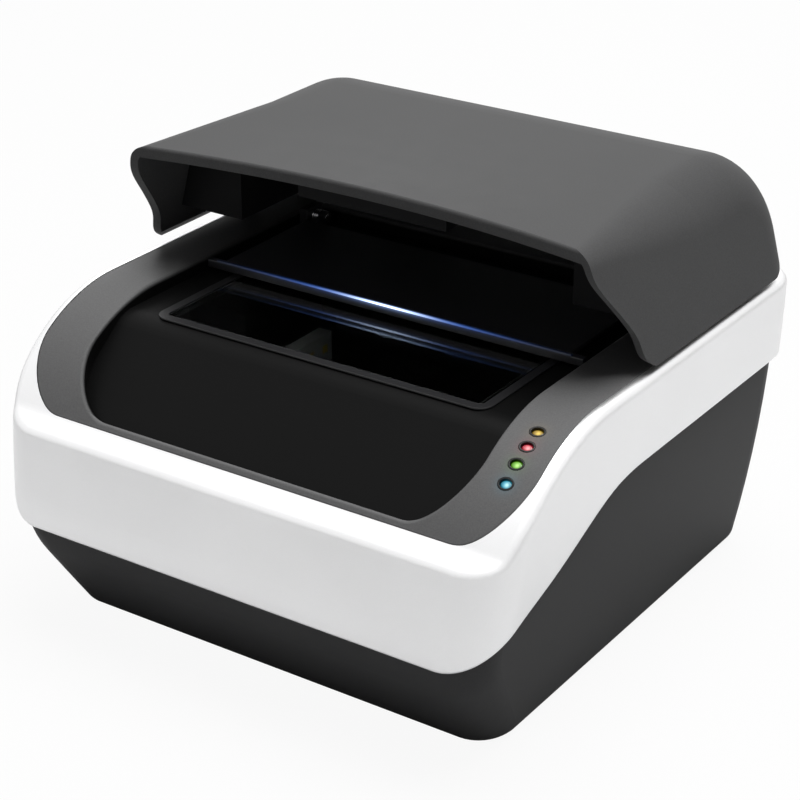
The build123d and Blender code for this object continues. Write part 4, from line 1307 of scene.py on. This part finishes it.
@dataclass
class Studio:
    """Camera, floor, lamps and surroundings."""

    camera_place: Point = (0.41116, -0.60917, 0.42567)
    camera_tilt: float = 64.41
    camera_turn: float = 34.06
    lens: float = 100.07
    clip_start: float = 0.01
    aim: Point = (0.0, 0.0, 0.08)
    floor_side: float = 12.0
    floor_colour: Colour = (0.8, 0.8, 0.8)
    floor_lift: float = 0.93
    ambient: float = 0.1
    lamps: tuple[Lamp, ...] = (
        Lamp("top_lamp", (0.15, 0.22, 1.48), 1.2, 25.5),
        Lamp("rear_lamp", (-0.85, 1.25, 0.8), 1.2, 4.0),
        Lamp("right_lamp", (1.5, 0.5, 0.12), 0.7, 0.45),
    )

    def camera(self) -> None:
        """Camera at the photograph's viewpoint."""
        data = bpy.data.cameras.new("viewpoint")
        data.lens = self.lens
        data.clip_start = self.clip_start
        camera = linked("viewpoint", data)
        camera.location = self.camera_place
        camera.rotation_euler = (radians(self.camera_tilt), 0.0, radians(self.camera_turn))
        bpy.context.scene.camera = camera

    def build(self) -> None:
        """Build the floor, the lamps and the surroundings."""
        self.floor()
        for lamp in self.lamps:
            data = bpy.data.lights.new(lamp.name, "AREA")
            data.size = lamp.side
            data.energy = lamp.power
            item = linked(lamp.name, data)
            item.location = lamp.place
            aim = Vector(self.aim) - Vector(lamp.place)
            item.rotation_euler = aim.to_track_quat("-Z", "Y").to_euler()
        self.surroundings()
        bpy.context.scene.view_settings.view_transform = "Standard"

    def floor(self) -> None:
        """Plain pale floor that is near white to the camera and keeps the shadow."""
        deselect()
        bpy.ops.mesh.primitive_plane_add(size=self.floor_side, location=(0, 0, 0))
        floor = bpy.context.object
        floor.name = "floor"
        material = bpy.data.materials.new("pale_floor")
        material.use_nodes = True
        nodes = Nodes(material.node_tree)
        matt = nodes.add("ShaderNodeBsdfDiffuse", None, {"Color": self.floor_colour})
        white = nodes.add("ShaderNodeEmission", None, {"Color": WHITE, "Strength": 1.0})
        seen = Value(nodes, nodes.add("ShaderNodeLightPath").outputs["Is Camera Ray"]) * self.floor_lift
        mixed = nodes.add("ShaderNodeMixShader", None, {0: seen, 1: matt.outputs[0], 2: white.outputs[0]})
        nodes.add("ShaderNodeOutputMaterial", None, {"Surface": mixed.outputs[0]})
        floor.data.materials.append(material)

    def surroundings(self) -> None:
        """White surroundings to the camera, metal and glass, and soft light for the rest."""
        world = bpy.data.worlds.new("surroundings")
        world.use_nodes = True
        bpy.context.scene.world = world
        nodes = Nodes(world.node_tree)
        rays = nodes.add("ShaderNodeLightPath").outputs
        seen = Value(nodes, rays["Is Camera Ray"]) + Value(nodes, rays["Is Glossy Ray"])
        seen = (seen + Value(nodes, rays["Is Transmission Ray"])).at_most(1.0)
        strength = seen * (1.0 - self.ambient) + self.ambient
        back = nodes.add("ShaderNodeBackground", None, {"Color": WHITE, "Strength": strength})
        nodes.add("ShaderNodeOutputWorld", None, {"Surface": back.outputs[0]})


def finishes(row: LensRow) -> dict[Slot, Finish]:
    """Every finish of the object.

    Args:
        row: Where the lenses are, whose light falls on the tray.

    Returns:
        A finish for each slot.
    """
    lamps = {
        Slot.AMBER: ((0.42, 0.26, 0.02), (1.0, 0.72, 0.12)),
        Slot.RED: ((0.62, 0.02, 0.05), (1.0, 0.42, 0.42)),
        Slot.GREEN: ((0.16, 0.5, 0.02), (0.6, 1.0, 0.3)),
        Slot.BLUE: ((0.04, 0.42, 0.6), (0.6, 1.0, 1.0)),
    }
    # Painted glow of each lit lens on the tray round it
    glows = tuple(Glow(row.centre(slot), tinted(tint, GLOW_SHARE)) for slot, (tint, _) in lamps.items())
    shelf: dict[Slot, Finish] = {
        Slot.BASE: MouldedPlastic((0.042, 0.042, 0.043), 0.5, 0.08),
        Slot.TRAY: TrayPlastic((0.165, 0.165, 0.166), 0.46, 0.07, glows=glows),
        Slot.HOOD: MouldedPlastic((0.088, 0.088, 0.089), 0.5, 0.02, polish_at=(0.0, -30.0, 160.0)),
        Slot.LINER: MouldedPlastic((0.008, 0.008, 0.0085), 0.6, 0.08),
        Slot.TUNNEL: MouldedPlastic((0.006, 0.006, 0.006), 0.8, 0.15),
        Slot.PRESS: PressPlastic((0.02, 0.02, 0.022), 0.4, 0.4),
        Slot.FRAME: MouldedPlastic((0.015, 0.015, 0.016), 0.4, 0.4),
        Slot.BAND: SatinPaint((0.88, 0.88, 0.885)),
        Slot.GLASS: WindowGlass((0.86, 0.9, 0.89)),
        Slot.BEZEL: MouldedPlastic((0.012, 0.012, 0.012), 0.3, 0.3),
        Slot.SCREW: Steel((0.45, 0.45, 0.46), 0.34, (4.0, 4.0, 1.0)),
        Slot.BLACK_SCREW: Steel((0.03, 0.03, 0.032), 0.42),
        Slot.PIN: Steel((0.6, 0.6, 0.61), 0.22, (8.0, 1.0, 1.0)),
        Slot.SPRING: Steel((0.5, 0.5, 0.51), 0.26),
        Slot.BRACKET: Steel((0.5, 0.5, 0.51), 0.36, (1.0, 9.0, 1.0)),
        Slot.SOCKET: Steel((0.62, 0.62, 0.63), 0.26, (9.0, 1.0, 1.0)),
        Slot.SOCKET_BODY: MouldedPlastic((0.015, 0.015, 0.015), 0.42, 0.4),
        Slot.BOARD: SolderMask((0.012, 0.1, 0.04)),
        Slot.LAMP_BOARD: LampBoard((0.74, 0.74, 0.71)),
        Slot.CAMERA: Anodised((0.03, 0.03, 0.033)),
        Slot.RUBBER: Rubber((0.014, 0.014, 0.014)),
        Slot.FOAM: OpenFoam((0.03, 0.03, 0.033)),
        Slot.STRIP: LightGuide(),
    }
    for slot, (tint, core) in lamps.items():
        shelf[slot] = LitLens(row.centre(slot), tint, core)
    return shelf


def main() -> None:
    """Build the camera, every sub-assembly and the studio."""
    logging.basicConfig(level=logging.INFO, format="%(message)s")
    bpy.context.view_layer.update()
    studio = Studio()
    studio.camera()
    row = LensRow()
    fitter = Fitter(FinishShelf(finishes(row)))
    parts = [
        BaseUnit(fitter),
        Tray(fitter),
        Indicators(fitter, row),
        Reader(fitter),
        PressUnit(fitter),
        Hood(fitter),
        Hinges(fitter),
    ]
    for part in parts:
        part.build()
        log.info("%s done", type(part).__name__)
    studio.build()
    deselect()
    log.info("%d pieces", fitter.count)


if __name__ == "__main__":
    main()
